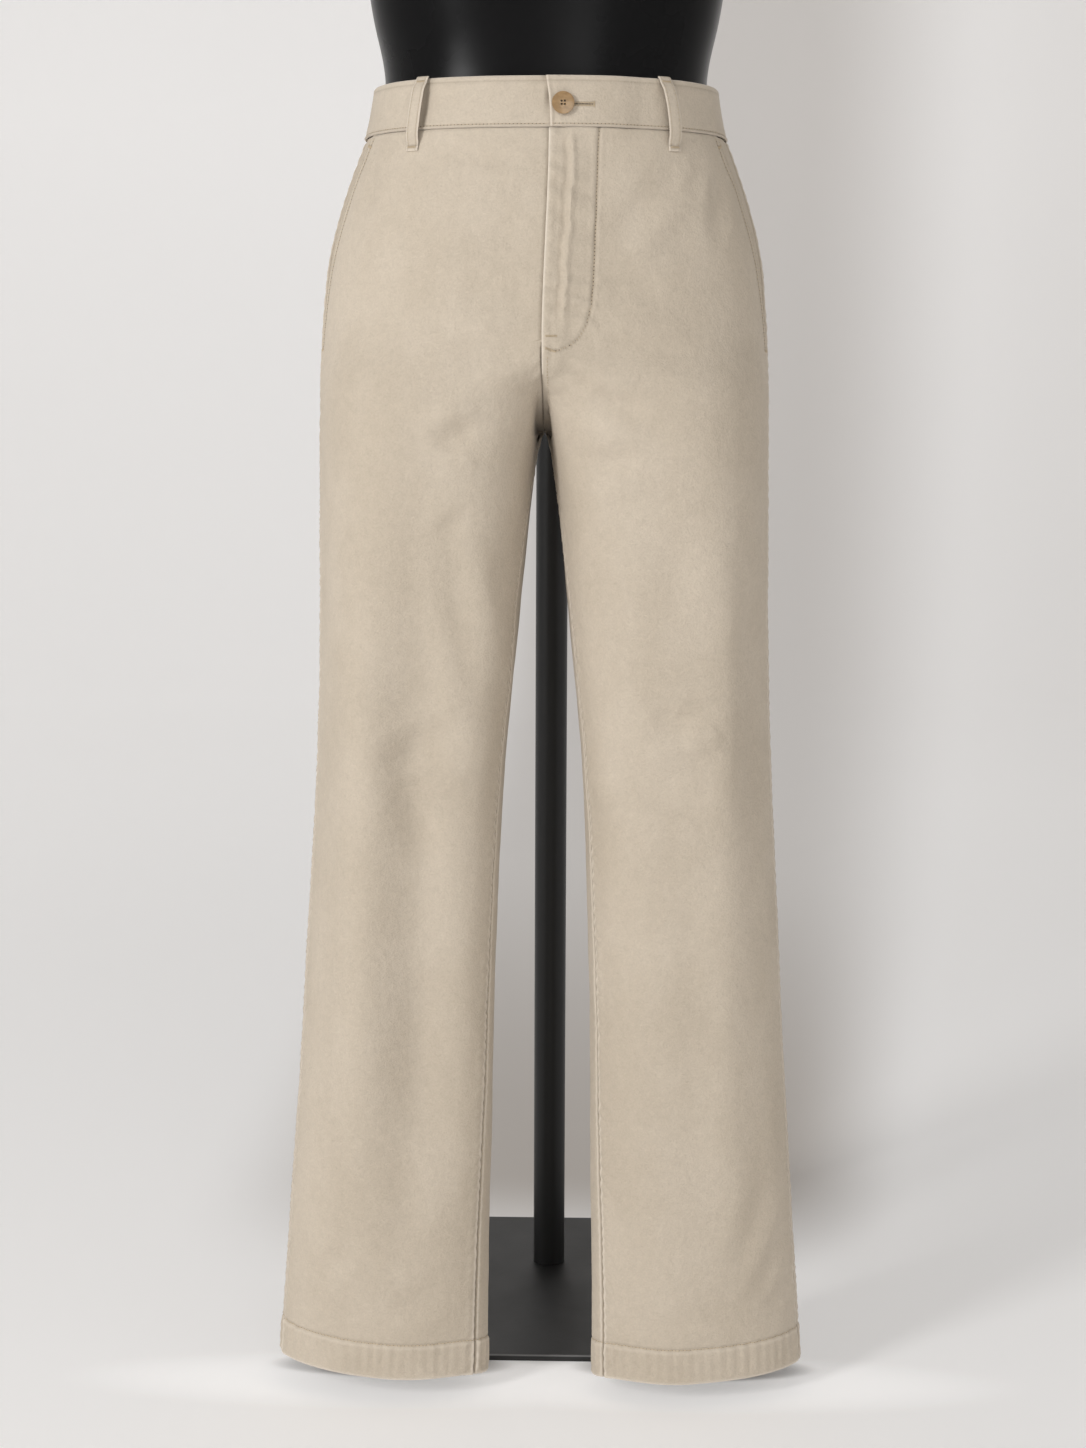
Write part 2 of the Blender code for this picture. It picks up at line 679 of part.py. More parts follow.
def make_button(finish, collection, cutters, parent):
    """Turned disc with a raised rim and four holes."""
    rim_inner = BUTTON_RADIUS - BUTTON_RIM
    profile = (
        (0.0, BUTTON_THICK - BUTTON_DISH),
        (rim_inner - 0.0008, BUTTON_THICK - BUTTON_DISH),
        (rim_inner, BUTTON_THICK - 0.0002),
        (BUTTON_RADIUS - 0.0012, BUTTON_THICK),
        (BUTTON_RADIUS - 0.0002, BUTTON_THICK - 0.0007),
        (BUTTON_RADIUS, BUTTON_THICK - 0.0014),
        (BUTTON_RADIUS - 0.0014, 0.0),
        (0.0, 0.0),
    )
    data = bpy.data.meshes.new("button")
    points = [(radius, 0.0, height) for radius, height in profile]
    edges = [(index, index + 1) for index in range(len(points) - 1)]
    data.from_pydata(points, edges, [])
    button = add_object("button", data, finish, collection, parent)
    button.matrix_world = button_place()
    turned = button.modifiers.new("turn", "SCREW")
    turned.axis = "Z"
    turned.steps = 24
    turned.render_steps = 24
    turned.use_merge_vertices = True
    turned.merge_threshold = 0.00002
    for index in range(4):
        spin = math.radians(45.0 + 90.0 * index)
        bpy.ops.mesh.primitive_cylinder_add(
            vertices=8, radius=BUTTON_HOLE_RADIUS, depth=BUTTON_THICK * 3
        )
        hole = bpy.context.object
        hole.name = "button_hole_cutter_" + str(index + 1)
        offset = BUTTON_HOLE_OFFSET
        hole.matrix_world = button.matrix_world @ Matrix.Translation(
            (math.cos(spin) * offset, math.sin(spin) * offset, BUTTON_THICK / 2)
        )
        move_to(hole, cutters)
        hide_cutter(hole)
        cut(button, hole)


def move_to(item, collection):
    for old in list(item.users_collection):
        old.objects.unlink(item)
    collection.objects.link(item)


# ---------------------------------------------------------------- the form and its stand
def form_levels():
    """Half-width and depths of the form at each level, from the fit and then from its sizes."""
    levels = []
    for fit in FORM_FITS:
        levels.append(FormSize(
            fit.height,
            along(LEVELS, fit.height, "outer") - fit.side,
            along(LEVELS, fit.height, "front") - fit.front,
            along(LEVELS, fit.height, "back") - fit.back,
        ))
    return levels + list(FORM_SIZES)


def form_ring(level, out=0.0):
    ring = []
    for index in range(FORM_COLUMNS):
        turn = 2 * math.pi * index / FORM_COLUMNS
        cosine = math.cos(turn)
        sine = math.sin(turn)
        depth = level.front if sine < 0.0 else level.back
        x = (level.side + out) * math.copysign(abs(cosine) ** (2 / OUTER_POWER), cosine)
        y = (depth + out) * math.copysign(abs(sine) ** (2 / OUTER_POWER), sine)
        ring.append(Vector((x, GARMENT_Y + y, level.height)))
    return ring


def form_mesh(name, out, closed_below):
    mesh = bmesh.new()
    rings = [[mesh.verts.new(point) for point in form_ring(level, out)] for level in form_levels()]
    for lower, upper in zip(rings, rings[1:]):
        for index in range(FORM_COLUMNS):
            following = (index + 1) % FORM_COLUMNS
            mesh.faces.new((lower[index], lower[following], upper[following], upper[index]))
    top = mesh.verts.new((0.0, GARMENT_Y, FORM_TOP + out))
    for index in range(FORM_COLUMNS):
        mesh.faces.new((rings[-1][index], rings[-1][(index + 1) % FORM_COLUMNS], top))
    if closed_below:
        mesh.faces.new(list(reversed(rings[0])))
    data = bpy.data.meshes.new(name)
    mesh.to_mesh(data)
    mesh.free()
    return data


def make_form(finish, collection, parent):
    form = add_object("torso_form", form_mesh("torso_form", 0.0, False), finish, collection, parent)
    wall = form.modifiers.new("wall", "SOLIDIFY")
    wall.thickness = FORM_WALL
    wall.offset = -1.0
    smooth(form, 50.0)


def form_back(height):
    return GARMENT_Y + along(form_levels(), height, "back")


def make_socket(finish, collection, cutters, parent):
    """Boss on the form's back, shaped to it, with a flat end for the upright."""
    start = form_back(UPRIGHT_REACH_HEIGHT)
    bpy.ops.mesh.primitive_cylinder_add(
        vertices=SOCKET_SIDES, radius=SOCKET_RADIUS, depth=SOCKET_LENGTH,
        location=(0.0, start - 0.010 + SOCKET_LENGTH / 2, UPRIGHT_REACH_HEIGHT),
        rotation=(math.radians(90.0), 0.0, 0.0),
    )
    socket = bpy.context.object
    socket.name = "form_socket"
    move_to(socket, collection)
    socket.data.materials.append(finish)
    socket.parent = parent
    data = form_mesh("form_cutter", SEAM_GAP, True)
    cutter = bpy.data.objects.new("form_cutter", data)
    cutters.objects.link(cutter)
    hide_cutter(cutter)
    cut(socket, cutter)
    smooth(socket, 50.0)
    return start - 0.010 + SOCKET_LENGTH


def upright_route(end_y):
    """Centre line: straight up from the plate, a quarter bend, and forward to the socket."""
    foot = PLATE_THICK + SEAM_GAP
    bend_start = UPRIGHT_REACH_HEIGHT - UPRIGHT_BEND_RADIUS
    route = [Vector((0.0, UPRIGHT_Y, foot)), Vector((0.0, UPRIGHT_Y, bend_start))]
    for step in range(1, UPRIGHT_BEND_STEPS + 1):
        turn = math.radians(90.0 * step / UPRIGHT_BEND_STEPS)
        back = UPRIGHT_BEND_RADIUS * (1.0 - math.cos(turn))
        up = UPRIGHT_BEND_RADIUS * math.sin(turn)
        route.append(Vector((0.0, UPRIGHT_Y - back, bend_start + up)))
    route.append(Vector((0.0, end_y + SEAM_GAP, UPRIGHT_REACH_HEIGHT)))
    return route


def make_upright(end_y, finish, collection, parent):
    curve = bpy.data.curves.new("upright", "CURVE")
    curve.dimensions = "3D"
    curve.bevel_depth = UPRIGHT_RADIUS
    curve.bevel_resolution = 4
    curve.use_fill_caps = True
    route = upright_route(end_y)
    spline = curve.splines.new("POLY")
    spline.points.add(len(route) - 1)
    for point, place in zip(spline.points, route):
        point.co = (*place, 1.0)
    add_object("upright", curve, finish, collection, parent)


def make_base_plate(finish, collection, parent):
    bpy.ops.mesh.primitive_cube_add(size=1.0, location=(0.0, 0.0, PLATE_THICK / 2))
    plate = bpy.context.object
    plate.name = "base_plate"
    plate.scale = (PLATE_SIZE, PLATE_SIZE, PLATE_THICK)
    bpy.ops.object.transform_apply(location=False, rotation=False, scale=True)
    move_to(plate, collection)
    plate.data.materials.append(finish)
    plate.parent = parent
    edge = plate.modifiers.new("edge", "BEVEL")
    edge.width = PLATE_EDGE
    edge.segments = 2
    smooth(plate)


def main():
    remove_old_objects()
    collection = new_collection("chino_trousers_on_form")
    cutters = new_collection("cutters")
    finishes = {name: make_finish(name) for name in FINISHES}
    root = bpy.data.objects.new("trousers_root", None)
    collection.objects.link(root)

    twill = finishes["beige_twill"]
    left_angles, right_angles, back_angles = make_panels(twill, collection, root)
    pocket_twill = finishes["pocket_twill"]
    for name, side, front_angles in (
        ("pocket_facing_left", 1, left_angles),
        ("pocket_facing_right", -1, right_angles),
    ):
        make_pocket_facing(
            name, side, front_angles, back_angles, pocket_twill, collection, root
        )
    make_waistband(twill, collection, root)
    make_belt_loops(twill, collection, root)
    make_button(finishes["button_tan"], collection, cutters, root)

    make_form(finishes["gloss_black"], collection, root)
    socket_end = make_socket(finishes["satin_black"], collection, cutters, root)
    make_upright(socket_end, finishes["satin_black"], collection, root)
    make_base_plate(finishes["plate_grey"], collection, root)


main()
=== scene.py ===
# %% [markdown]
# # Chino trousers on a torso form
# The solids hold the cut and the pose. Here every cloth piece is made again as a thin, creased
# shell on its solid's own surface, and gets its seams, stitches and finish. The stand keeps the
# places of its solids.

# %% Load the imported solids
import math

import bmesh
import bpy
import numpy as np
from mathutils import Matrix, Vector, noise
from mathutils.bvhtree import BVHTree


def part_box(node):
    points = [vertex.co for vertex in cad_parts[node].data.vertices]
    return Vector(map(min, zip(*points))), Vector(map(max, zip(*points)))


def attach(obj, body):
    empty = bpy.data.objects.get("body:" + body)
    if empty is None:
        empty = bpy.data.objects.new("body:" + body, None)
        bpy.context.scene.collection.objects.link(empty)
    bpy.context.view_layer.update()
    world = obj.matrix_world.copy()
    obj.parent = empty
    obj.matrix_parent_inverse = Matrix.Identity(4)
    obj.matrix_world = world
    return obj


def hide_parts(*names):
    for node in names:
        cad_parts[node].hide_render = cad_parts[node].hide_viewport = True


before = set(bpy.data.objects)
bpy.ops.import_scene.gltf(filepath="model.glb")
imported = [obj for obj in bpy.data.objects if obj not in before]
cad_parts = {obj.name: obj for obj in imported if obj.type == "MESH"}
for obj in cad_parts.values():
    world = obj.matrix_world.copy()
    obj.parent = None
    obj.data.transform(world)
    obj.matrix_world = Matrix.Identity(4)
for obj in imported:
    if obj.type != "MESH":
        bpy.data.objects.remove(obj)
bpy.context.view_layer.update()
bpy.ops.object.select_all(action="DESELECT")

# %% [markdown]
# ## The camera
# The camera stands at the height of the hips and looks a little down, so the waistband's far side
# stays hidden and the hems show as curves. It comes first, so that each piece can be judged in
# its view.

# %% Camera
GARMENT_Y = -0.2275
camera_data = bpy.data.cameras.new("camera")
camera_data.lens = 60.2
camera_data.sensor_fit = "AUTO"
camera_data.sensor_width = 36.0
camera = bpy.data.objects.new("camera", camera_data)
bpy.context.scene.collection.objects.link(camera)
turn = Matrix.Rotation(math.radians(1.45), 4, "Z")
tilt = Matrix.Rotation(math.radians(90.0 - 7.6), 4, "X")
roll = Matrix.Rotation(math.radians(0.22), 4, "Z")
camera.matrix_world = Matrix.Translation((0.05, GARMENT_Y - 2.0, 0.841)) @ turn @ tilt @ roll
bpy.context.scene.camera = camera
bpy.context.scene.view_settings.view_transform = "Standard"
print("camera at", [round(n, 3) for n in camera.location])

# %% [markdown]
# ## The body surface
# A pair of trousers in wear is a stack of rounded sections: one wide section at the hips, and one
# for each leg below the crotch. Each row gives the half-width to the outer side, the inner side,
# and the depths to the front and the back, in metres. A cubic runs through the rows and never
# overshoots, so the outline stays as calm as pressed cloth.

# %% Sections of the body surface
SECTIONS = np.array([
    (0.010, 0.2237, 0.0438, 0.0448, 0.0468),
    (0.128, 0.2156, 0.0424, 0.0540, 0.0560),
    (0.234, 0.2084, 0.0406, 0.0618, 0.0640),
    (0.339, 0.2011, 0.0396, 0.0692, 0.0725),
    (0.442, 0.1943, 0.0368, 0.0766, 0.0815),
    (0.544, 0.1888, 0.0320, 0.0845, 0.0895),
    (0.644, 0.1853, 0.0226, 0.0930, 0.0985),
    (0.711, 0.1841, 0.0158, 0.0990, 0.1060),
    (0.780, 0.1830, 0.0085, 0.1050, 0.1130),
    (0.795, 0.1829, 0.0066, 0.1064, 0.1147),
    (0.806, 0.1828, 0.0042, 0.1075, 0.1160),
    (0.8145, 0.1827, 0.0014, 0.1083, 0.1170),
    (0.825, 0.1824, -0.0024, 0.1092, 0.1180),
    (0.835, 0.1821, -0.0060, 0.1102, 0.1190),
    (0.845, 0.1820, -0.0110, 0.1112, 0.1205),
    (0.855, 0.1818, -0.0260, 0.1120, 0.1218),
    (0.866, 0.1815, -0.0550, 0.1128, 0.1230),
    (0.880, 0.1809, -0.1000, 0.1138, 0.1242),
    (0.900, 0.1798, -0.1480, 0.1147, 0.1252),
    (0.938, 0.1765, -0.1765, 0.1150, 0.1255),
    (0.970, 0.1708, -0.1708, 0.1142, 0.1245),
    (1.002, 0.1619, -0.1619, 0.1128, 0.1220),
    (1.034, 0.1507, -0.1507, 0.1110, 0.1180),
    (1.050, 0.1449, -0.1449, 0.1100, 0.1155),
    (1.066, 0.1411, -0.1411, 0.1085, 0.1125),
    (1.087, 0.1380, -0.1380, 0.1065, 0.1090),
])
LEFT, RIGHT = 1, -1
FRONT, BACK = 1, -1
CROTCH_HEIGHT = 0.8145
WAIST_SEAM = 1.048
BAND_TOP = 1.087
POCKET_BOTTOM = 0.880
FLY_BOTTOM = 0.880
HEM_HEIGHT = 0.0195
FLY_REST = 0.00015
UNDERLAP, UNDERLAP_FROM = 0.009, 0.887
OUTER_POWER, HEM_POWER, KNEE_POWER = 2.3, 1.8, 3.0


def curve_through(heights, values):
    """A smooth curve of a value against height, through every row of a table."""
    heights = np.asarray(heights, float)
    values = np.asarray(values, float)
    rise = np.diff(values) / np.diff(heights)
    slope = np.zeros_like(values)
    slope[0], slope[-1] = rise[0], rise[-1]
    same = rise[:-1] * rise[1:] > 0.0
    middle = slope[1:-1]
    middle[same] = 2 * rise[:-1][same] * rise[1:][same] / (rise[:-1] + rise[1:])[same]

    def value(height):
        height = np.clip(height, heights[0], heights[-1])
        low = np.clip(np.searchsorted(heights, height, side="right") - 1, 0, len(heights) - 2)
        span = heights[low + 1] - heights[low]
        t = (height - heights[low]) / span
        return (
            (2 * t**3 - 3 * t**2 + 1) * values[low]
            + (t**3 - 2 * t**2 + t) * slope[low] * span
            + (3 * t**2 - 2 * t**3) * values[low + 1]
            + (t**3 - t**2) * slope[low + 1] * span
        )

    return value


half_width, inner_side, front_depth, back_depth = (
    curve_through(SECTIONS[:, 0], SECTIONS[:, column]) for column in (1, 2, 3, 4)
)
print("hip width:", round(float(2 * half_width(0.938)), 4), "m")

# %% [markdown]
# A section is a rounded rectangle, of which the power says how square it is. The angle runs from
# 0 at the outer side through 90 at the front to 180 at the inner side, and to -90 at the back.
# Both hems turn their inner side a little to the front, and the outer end of a hem lies higher.

# %% A point of the surface
def ease(value):
    value = np.clip(value, 0.0, 1.0)
    return value * value * (3.0 - 2.0 * value)


def section_point(height, angle):
    """x from the centre plane to the leg's own side, and y from the garment's axis."""
    outer = half_width(height)
    inner = np.minimum(outer, np.maximum(-outer, inner_side(height)))
    cosine, sine = np.cos(np.radians(angle)), np.sin(np.radians(angle))
    inner_power = HEM_POWER + (KNEE_POWER - HEM_POWER) * ease(height / 0.70)
    inner_power = OUTER_POWER + (inner_power - OUTER_POWER) * ease((0.950 - height) / 0.090)
    power = np.where(cosine < 0.0, inner_power, OUTER_POWER)
    depth = np.where(sine >= 0.0, front_depth(height), back_depth(height))
    across = np.sign(cosine) * np.abs(cosine) ** (2 / power)
    turned = 0.012 * across * (1.0 - ease(height / 0.65))
    y = turned - depth * np.sign(sine) * np.abs(sine) ** (2 / power)
    return (outer + inner) / 2 + (outer - inner) / 2 * across, y


def outward(height, angle):
    """The level direction that points out of the section."""
    x0, y0 = section_point(height, angle - 0.05)
    x1, y1 = section_point(height, angle + 0.05)
    length = np.hypot(x1 - x0, y1 - y0)
    return -(y1 - y0) / length, (x1 - x0) / length


def hem_lift(side, height, angle):
    fade = 1.0 - ease((height - HEM_HEIGHT) / 0.30)
    tilt = 0.0055 * np.cos(np.radians(angle))
    rise = 0.0040 * np.exp(-(((angle % 360.0) - 142.0) / 30.0) ** 2)
    return fade * (tilt + rise - side * 0.0005)


def surface(side, height, angle, out=0.0):
    """World points of the cloth's outer face. Side 1 is the wearer's left, -1 the right."""
    height, angle = np.broadcast_arrays(np.asarray(height, float), np.asarray(angle, float))
    x, y = section_point(height, angle)
    out_x, out_y = outward(height, angle)
    if side == RIGHT:
        x = x + 0.0028 * (1.0 - ease(height / 0.75))
    return np.stack(
        (
            side * (x + out_x * out),
            GARMENT_Y + y + out_y * out,
            height + hem_lift(side, height, angle),
        ),
        axis=-1,
    )


print("front of the left knee:", surface(LEFT, 0.50, 90.0).round(3))

# %% [markdown]
# ## Where the seams run
# A seam is a line on that surface, so it is an angle for each height. Two searches find such an
# angle: where the surface is a distance from the centre plane, and where it is a distance along
# the cloth from another line.

# %% Seam lines
def halve_between(low, high, too_low):
    """Angles at which a test turns, found by halving the span forty times."""
    for _ in range(40):
        middle = (low + high) / 2
        below = too_low(middle)
        low, high = np.where(below, middle, low), np.where(below, high, middle)
    return high


def angle_at_x(height, x, face=FRONT):
    height = np.asarray(height, float)
    low, high = np.zeros_like(height), np.full_like(height, 180.0)
    return face * halve_between(
        low, high, lambda angle: section_point(height, face * angle)[0] > x
    )


def angle_past(height, angle, distance):
    height = np.asarray(height, float)
    angle = np.broadcast_to(np.asarray(angle, float), height.shape)
    turn_sign = np.sign(distance) + (np.asarray(distance) == 0)
    start = section_point(height, angle)

    def short(step):
        here = section_point(height, angle + turn_sign * step)
        return np.hypot(here[0] - start[0], here[1] - start[1]) < np.abs(distance)

    return angle + turn_sign * halve_between(
        np.zeros_like(height), np.full_like(height, 40.0), short
    )


side_seam = curve_through(
    (0.010, 0.450, 0.700, 0.8145, 0.880, 1.048), (14.0, 14.0, 13.0, 12.0, 10.0, 0.5)
)
inseam = curve_through((0.010, 0.450, 0.700, 0.8145), (153.5, 155.5, 161.0, 180.0))


def pocket_slant(height):
    rise = np.clip((height - POCKET_BOTTOM) / (WAIST_SEAM - POCKET_BOTTOM), 0.0, 1.0)
    start = side_seam(POCKET_BOTTOM)
    slant = start + (22.0 - start) * rise**1.25
    return np.where(height <= POCKET_BOTTOM, side_seam(height), slant)


def fly_edge(height):
    """How far the fly's edge lies to the wearer's left of the centre."""
    rise = ease((height - FLY_BOTTOM) / (WAIST_SEAM - FLY_BOTTOM))
    return np.maximum(FLY_REST, 0.0050 * rise)


print("pocket slant at the band:", round(float(pocket_slant(WAIST_SEAM)), 1), "degrees")

# %% [markdown]
# ## Creases
# Twill that has been worn and washed keeps soft troughs: fans at the fly's lower end, a long pull
# from the thigh to the knee, short troughs round the knee, and broad hollows down the lower leg.
# Each row is one of them, in millimetres: three points along it as (x, height), its width
# and its depth.
# A trough lifts soft shoulders beside it, and dies out at its ends. A row with a negative depth
# is a ridge. The rows are kept by the wearer's leg and by its face, front or back.

# %% Crease rows
CREASE_GAIN = 1.35
CREASES = {
    (RIGHT, FRONT): (
        (76, 877, 41, 881, 6, 878, 12, 2.4),
        (69, 920, 33, 923, 4, 918, 15, 1.7),
        (76, 963, 38, 961, 7, 963, 15, 1.3),
        (89, 1036, 46, 1025, 8, 1025, 6, 1),
        (124, 856, 77, 864, 30, 859, 12, 1),
        (79, 800, 67, 813, 48, 816, 10, 3.3),
        (82, 822, 64, 832, 44, 834, 10, -1.2),
        (76, 728, 68, 745, 55, 746, 8, 1.8),
        (74, 740, 63, 665, 44, 580, 11, 2.2),
        (48, 730, 44, 690, 36, 650, 9, -1),
        (130, 693, 128, 613, 116, 573, 16, 1.3),
        (122, 545, 109, 560, 71, 572, 11, 2.2),
        (114, 552, 95, 554, 72, 553, 7, 1.3),
        (114, 552, 103, 512, 86, 470, 12, 1.7),
        (102, 582, 82, 595, 60, 604, 10, -0.8),
        (89, 536, 71, 541, 52, 545, 8, -1),
        (86, 400, 89, 312, 85, 210, 20, 1.6),
        (138, 790, 143, 480, 155, 120, 22, -4.6),
        (92, 750, 94, 420, 104, 120, 28, 6.8),
        (110, 217, 109, 173, 111, 140, 12, 1.2),
        (186, 100, 173, 116, 157, 137, 9, 2.2),
        (122, 93, 101, 92, 78, 100, 11, 1.6),
        (157, 84, 131, 75, 105, 80, 9, 1),
        (133, 1034, 135, 1004, 142, 975, 6, 1),
    ),
    (LEFT, FRONT): (
        (10, 866, 24, 859, 40, 848, 7, 1.8),
        (34, 841, 59, 838, 86, 825, 9.5, 2.4),
        (30, 856, 56, 855, 84, 846, 9, -1),
        (39, 786, 55, 794, 78, 789, 10, 2.6),
        (52, 771, 67, 775, 84, 771, 10, -1.4),
        (104, 745, 106, 709, 103, 670, 14, 1.4),
        (52, 575, 81, 539, 124, 536, 15, 2.8),
        (92, 603, 105, 589, 124, 589, 10, 2),
        (112, 570, 129, 575, 145, 580, 11, -2.2),
        (78, 574, 93, 577, 104, 573, 10, 1.2),
        (144, 810, 145, 606, 148, 470, 14, -1.2),
        (147, 500, 153, 314, 159, 110, 15, -1.6),
        (170, 720, 171, 600, 174, 430, 12, 1.6),
        (178, 84, 195, 119, 209, 156, 8.5, 1.4),
        (189, 66, 203, 91, 216, 110, 8, 1.3),
        (165, 112, 178, 156, 190, 200, 10, 1.3),
        (86, 77, 110, 71, 136, 81, 9, 1.2),
        (47, 927, 69, 930, 100, 926, 13, 1.8),
        (45, 878, 78, 880, 124, 875, 9.5, 1.9),
        (51, 957, 80, 994, 118, 1027, 10, 1.4),
        (64, 944, 94, 978, 126, 1006, 9, -0.8),
        (136, 1034, 137, 997, 134, 955, 6.5, 1.4),
        (124, 1030, 120, 1012, 112, 996, 6, 1),
    ),
    (RIGHT, BACK): (
        (30, 812, 78, 790, 136, 778, 11, 3.6),
        (40, 780, 78, 760, 118, 752, 9, 2.2),
        (50, 574, 92, 548, 146, 540, 10.5, 3.4),
        (64, 520, 104, 500, 152, 512, 9, 2.6),
        (150, 600, 120, 580, 90, 582, 8, 1.4),
        (118, 350, 108, 230, 126, 100, 24, 3),
        (60, 700, 70, 660, 56, 610, 10, 2),
        (20, 900, 60, 888, 100, 892, 10, 1.2),
        (160, 430, 150, 360, 158, 300, 13, 1.5),
        (160, 90, 120, 80, 90, 88, 11, 1.4),
    ),
    (LEFT, BACK): (
        (32, 800, 80, 786, 142, 766, 11, 3.4),
        (48, 766, 82, 754, 112, 738, 9, 2),
        (46, 552, 90, 556, 142, 574, 10.5, 3.6),
        (66, 506, 106, 490, 150, 484, 9, 2.4),
        (140, 530, 118, 526, 96, 530, 7, -1.2),
        (126, 320, 114, 220, 130, 104, 24, 2.8),
        (54, 690, 66, 640, 52, 590, 10, 1.8),
        (24, 906, 62, 896, 98, 884, 10, 1.1),
        (162, 420, 154, 350, 162, 280, 13, 1.4),
    ),
}


def crease_relief(side, face, x, height):
    """How far the creases move the cloth out, at points of one face of one side."""
    total = np.zeros(np.broadcast(x, height).shape)
    for row in CREASES[side, face]:
        start, middle, end, (width, depth) = np.array(row).reshape(4, 2) * 0.001
        nearest = np.full(total.shape, 1e9)
        share = np.zeros(total.shape)
        steps = np.linspace(0.0, 1.0, 15)
        points = [
            (1 - t) ** 2 * start + 2 * t * (1 - t) * (2 * middle - (start + end) / 2) + t**2 * end
            for t in steps
        ]
        for index in range(len(points) - 1):
            run = points[index + 1] - points[index]
            along = (x - points[index][0]) * run[0] + (height - points[index][1]) * run[1]
            along = np.clip(along / (run @ run), 0.0, 1.0)
            away = np.hypot(
                x - points[index][0] - run[0] * along, height - points[index][1] - run[1] * along
            )
            closer = away < nearest
            nearest = np.where(closer, away, nearest)
            share = np.where(closer, (index + along) / (len(points) - 1), share)
        ratio = nearest / width
        trough = np.exp(-(ratio**2)) - 0.30 * np.exp(-(((ratio - 1.9) / 0.8) ** 2))
        ends = ease(share / 0.30) * ease((1.0 - share) / 0.30) * 0.85 + 0.15
        total -= CREASE_GAIN * depth * trough * ends
    return total


print("crease rows:", sum(len(rows) for rows in CREASES.values()))

# %% [markdown]
# Between its creases worn cloth is never quite flat. Broad, low hills from a noise pattern give it
# that calm unevenness: long ones down the legs, and small shallow ones that catch the light.

# %% Drape
def hills(points, size, seed):
    """Smooth hills from -1 to 1, of a size along x, y and height, the same in every run."""
    shift = Vector((seed * 7.31, seed * 3.17, seed * 5.71))
    flat = np.asarray(points, float).reshape(-1, 3) / np.asarray(size, float)
    values = [noise.noise(Vector(point) + shift) for point in flat]
    return np.array(values).reshape(np.asarray(points).shape[:-1])


def drape(points, strength=1.0):
    long_hills = 0.00100 * hills(points, (0.055, 0.055, 0.160), 1)
    round_hills = 0.00045 * hills(points, (0.026, 0.026, 0.034), 2)
    small_hills = 0.00014 * hills(points, (0.009, 0.009, 0.012), 3)
    return strength * (long_hills + round_hills + small_hills)


def bump_at(distance, place, width):
    """1 on a line at a distance from a seam, falling to 0 at its width."""
    return np.exp(-(((distance - place) / width) ** 2))


def lines_at(distance, *lines):
    """Ridges, and grooves where an amount is negative: each an amount, a place and a width."""
    return sum(amount * bump_at(distance, place, width) for amount, place, width in lines)


def puckers(along, distance, pitch, seed):
    """Short ripples across a seam, uneven in pitch and height, from -1 to 1."""
    across = np.stack([along * 0.0 + seed, distance * 0.0, along], axis=-1)
    wander = hills(across, (1.0, 1.0, 0.035), seed)
    height = 0.75 + 0.75 * hills(across, (1.0, 1.0, 0.021), seed + 1)
    return height * np.sin(2 * math.pi * along / pitch + 5.0 * wander)


# %% [markdown]
# ## Making one cloth piece
# A piece of cloth is a grid: its rows are heights, its columns run from seam to seam, and both
# stand closer together at the seams, where the small forms are. Each point is moved out by the
# piece's relief. The grid's outer face becomes a shell of the cloth's thickness with Solidify. Its
# UV map is in metres, across and up the cloth, so that the twill lies true on every piece. Two
# attributes paint light and shade. One makes the cloth paler at folds and seam banks, partly for
# rubbing and partly as a painted highlight. The other paints shade along seams, stitch rows, laps
# and the sides of the loops.

# %% Grids between two seams
PANEL_WALL, FACING_WALL, BAND_WALL, LOOP_WALL = 0.0014, 0.0010, 0.0024, 0.0013
EDGE_STEPS = np.array([0.0, 0.35, 0.8, 1.4, 2.1, 3.0, 4.1, 5.5, 7.2, 9.2]) * 0.001


def spread(length, middle_count, fine_count=0):
    """Distances across a width, close together at both ends, and fairly so before the last."""
    edge = EDGE_STEPS * min(1.0, length / 0.040)
    zone = min(0.038, 0.25 * length) if fine_count else 0.0
    last = length - edge[-1]
    middle = np.linspace(edge[-1], last - zone, middle_count + 2)[1:]
    fine = np.linspace(last - zone, last, fine_count + 2)[1:-1]
    return np.concatenate((edge, middle, fine, length - edge[::-1]))


def rows_between(low, high, step, fine_low=(), fine_high=()):
    """Heights from low to high, with closer rows near either end."""
    low_part = low + np.asarray(fine_low, float)
    high_part = high - np.asarray(fine_high, float)[::-1]
    start = low_part[-1] if len(low_part) else low
    end = high_part[0] if len(high_part) else high
    count = max(2, int(round((end - start) / step)) + 1)
    middle = np.linspace(start, end, count)
    return np.unique(np.concatenate((low_part, middle, high_part)).round(6))


def squeeze(place, length, tail=0.010):
    """Distances of a longer row, with those past a shorter row's end pressed into its tail."""
    start = length - tail
    past = (place - start) / (place[-1] - start)
    return np.where(place < start, place, start + tail * past)


def lay_grid(heights, first, last, middle_count, zero_angle, fine_count=0, fork=None):
    """Angles, and distances from the first edge, last edge and zero line, for each grid point.

    Rows end sooner above the fork, so there the grid's columns change over little by little.
    """
    angles, from_first, from_last, across = [], [], [], []
    forked = None
    for height, low, high in zip(heights, first, last):
        samples = np.linspace(low, high, 400)
        x, y = section_point(height, samples)
        length = np.concatenate(([0.0], np.cumsum(np.hypot(np.diff(x), np.diff(y)))))
        place = spread(length[-1], middle_count, fine_count)
        if fork is not None and height < fork:
            forked = place
        elif forked is not None and forked[-1] > length[-1] + 0.010:
            change = ease((height - fork) / 0.060)
            place = squeeze(forked, length[-1]) * (1.0 - change) + place * change
        angles.append(np.interp(place, length, samples))
        order = 1 if high > low else -1
        zero = np.interp(zero_angle, samples[::order], length[::order])
        from_first.append(place)
        from_last.append(length[-1] - place)
        across.append((place - zero) * order)
    return tuple(np.array(part) for part in (angles, from_first, from_last, across))


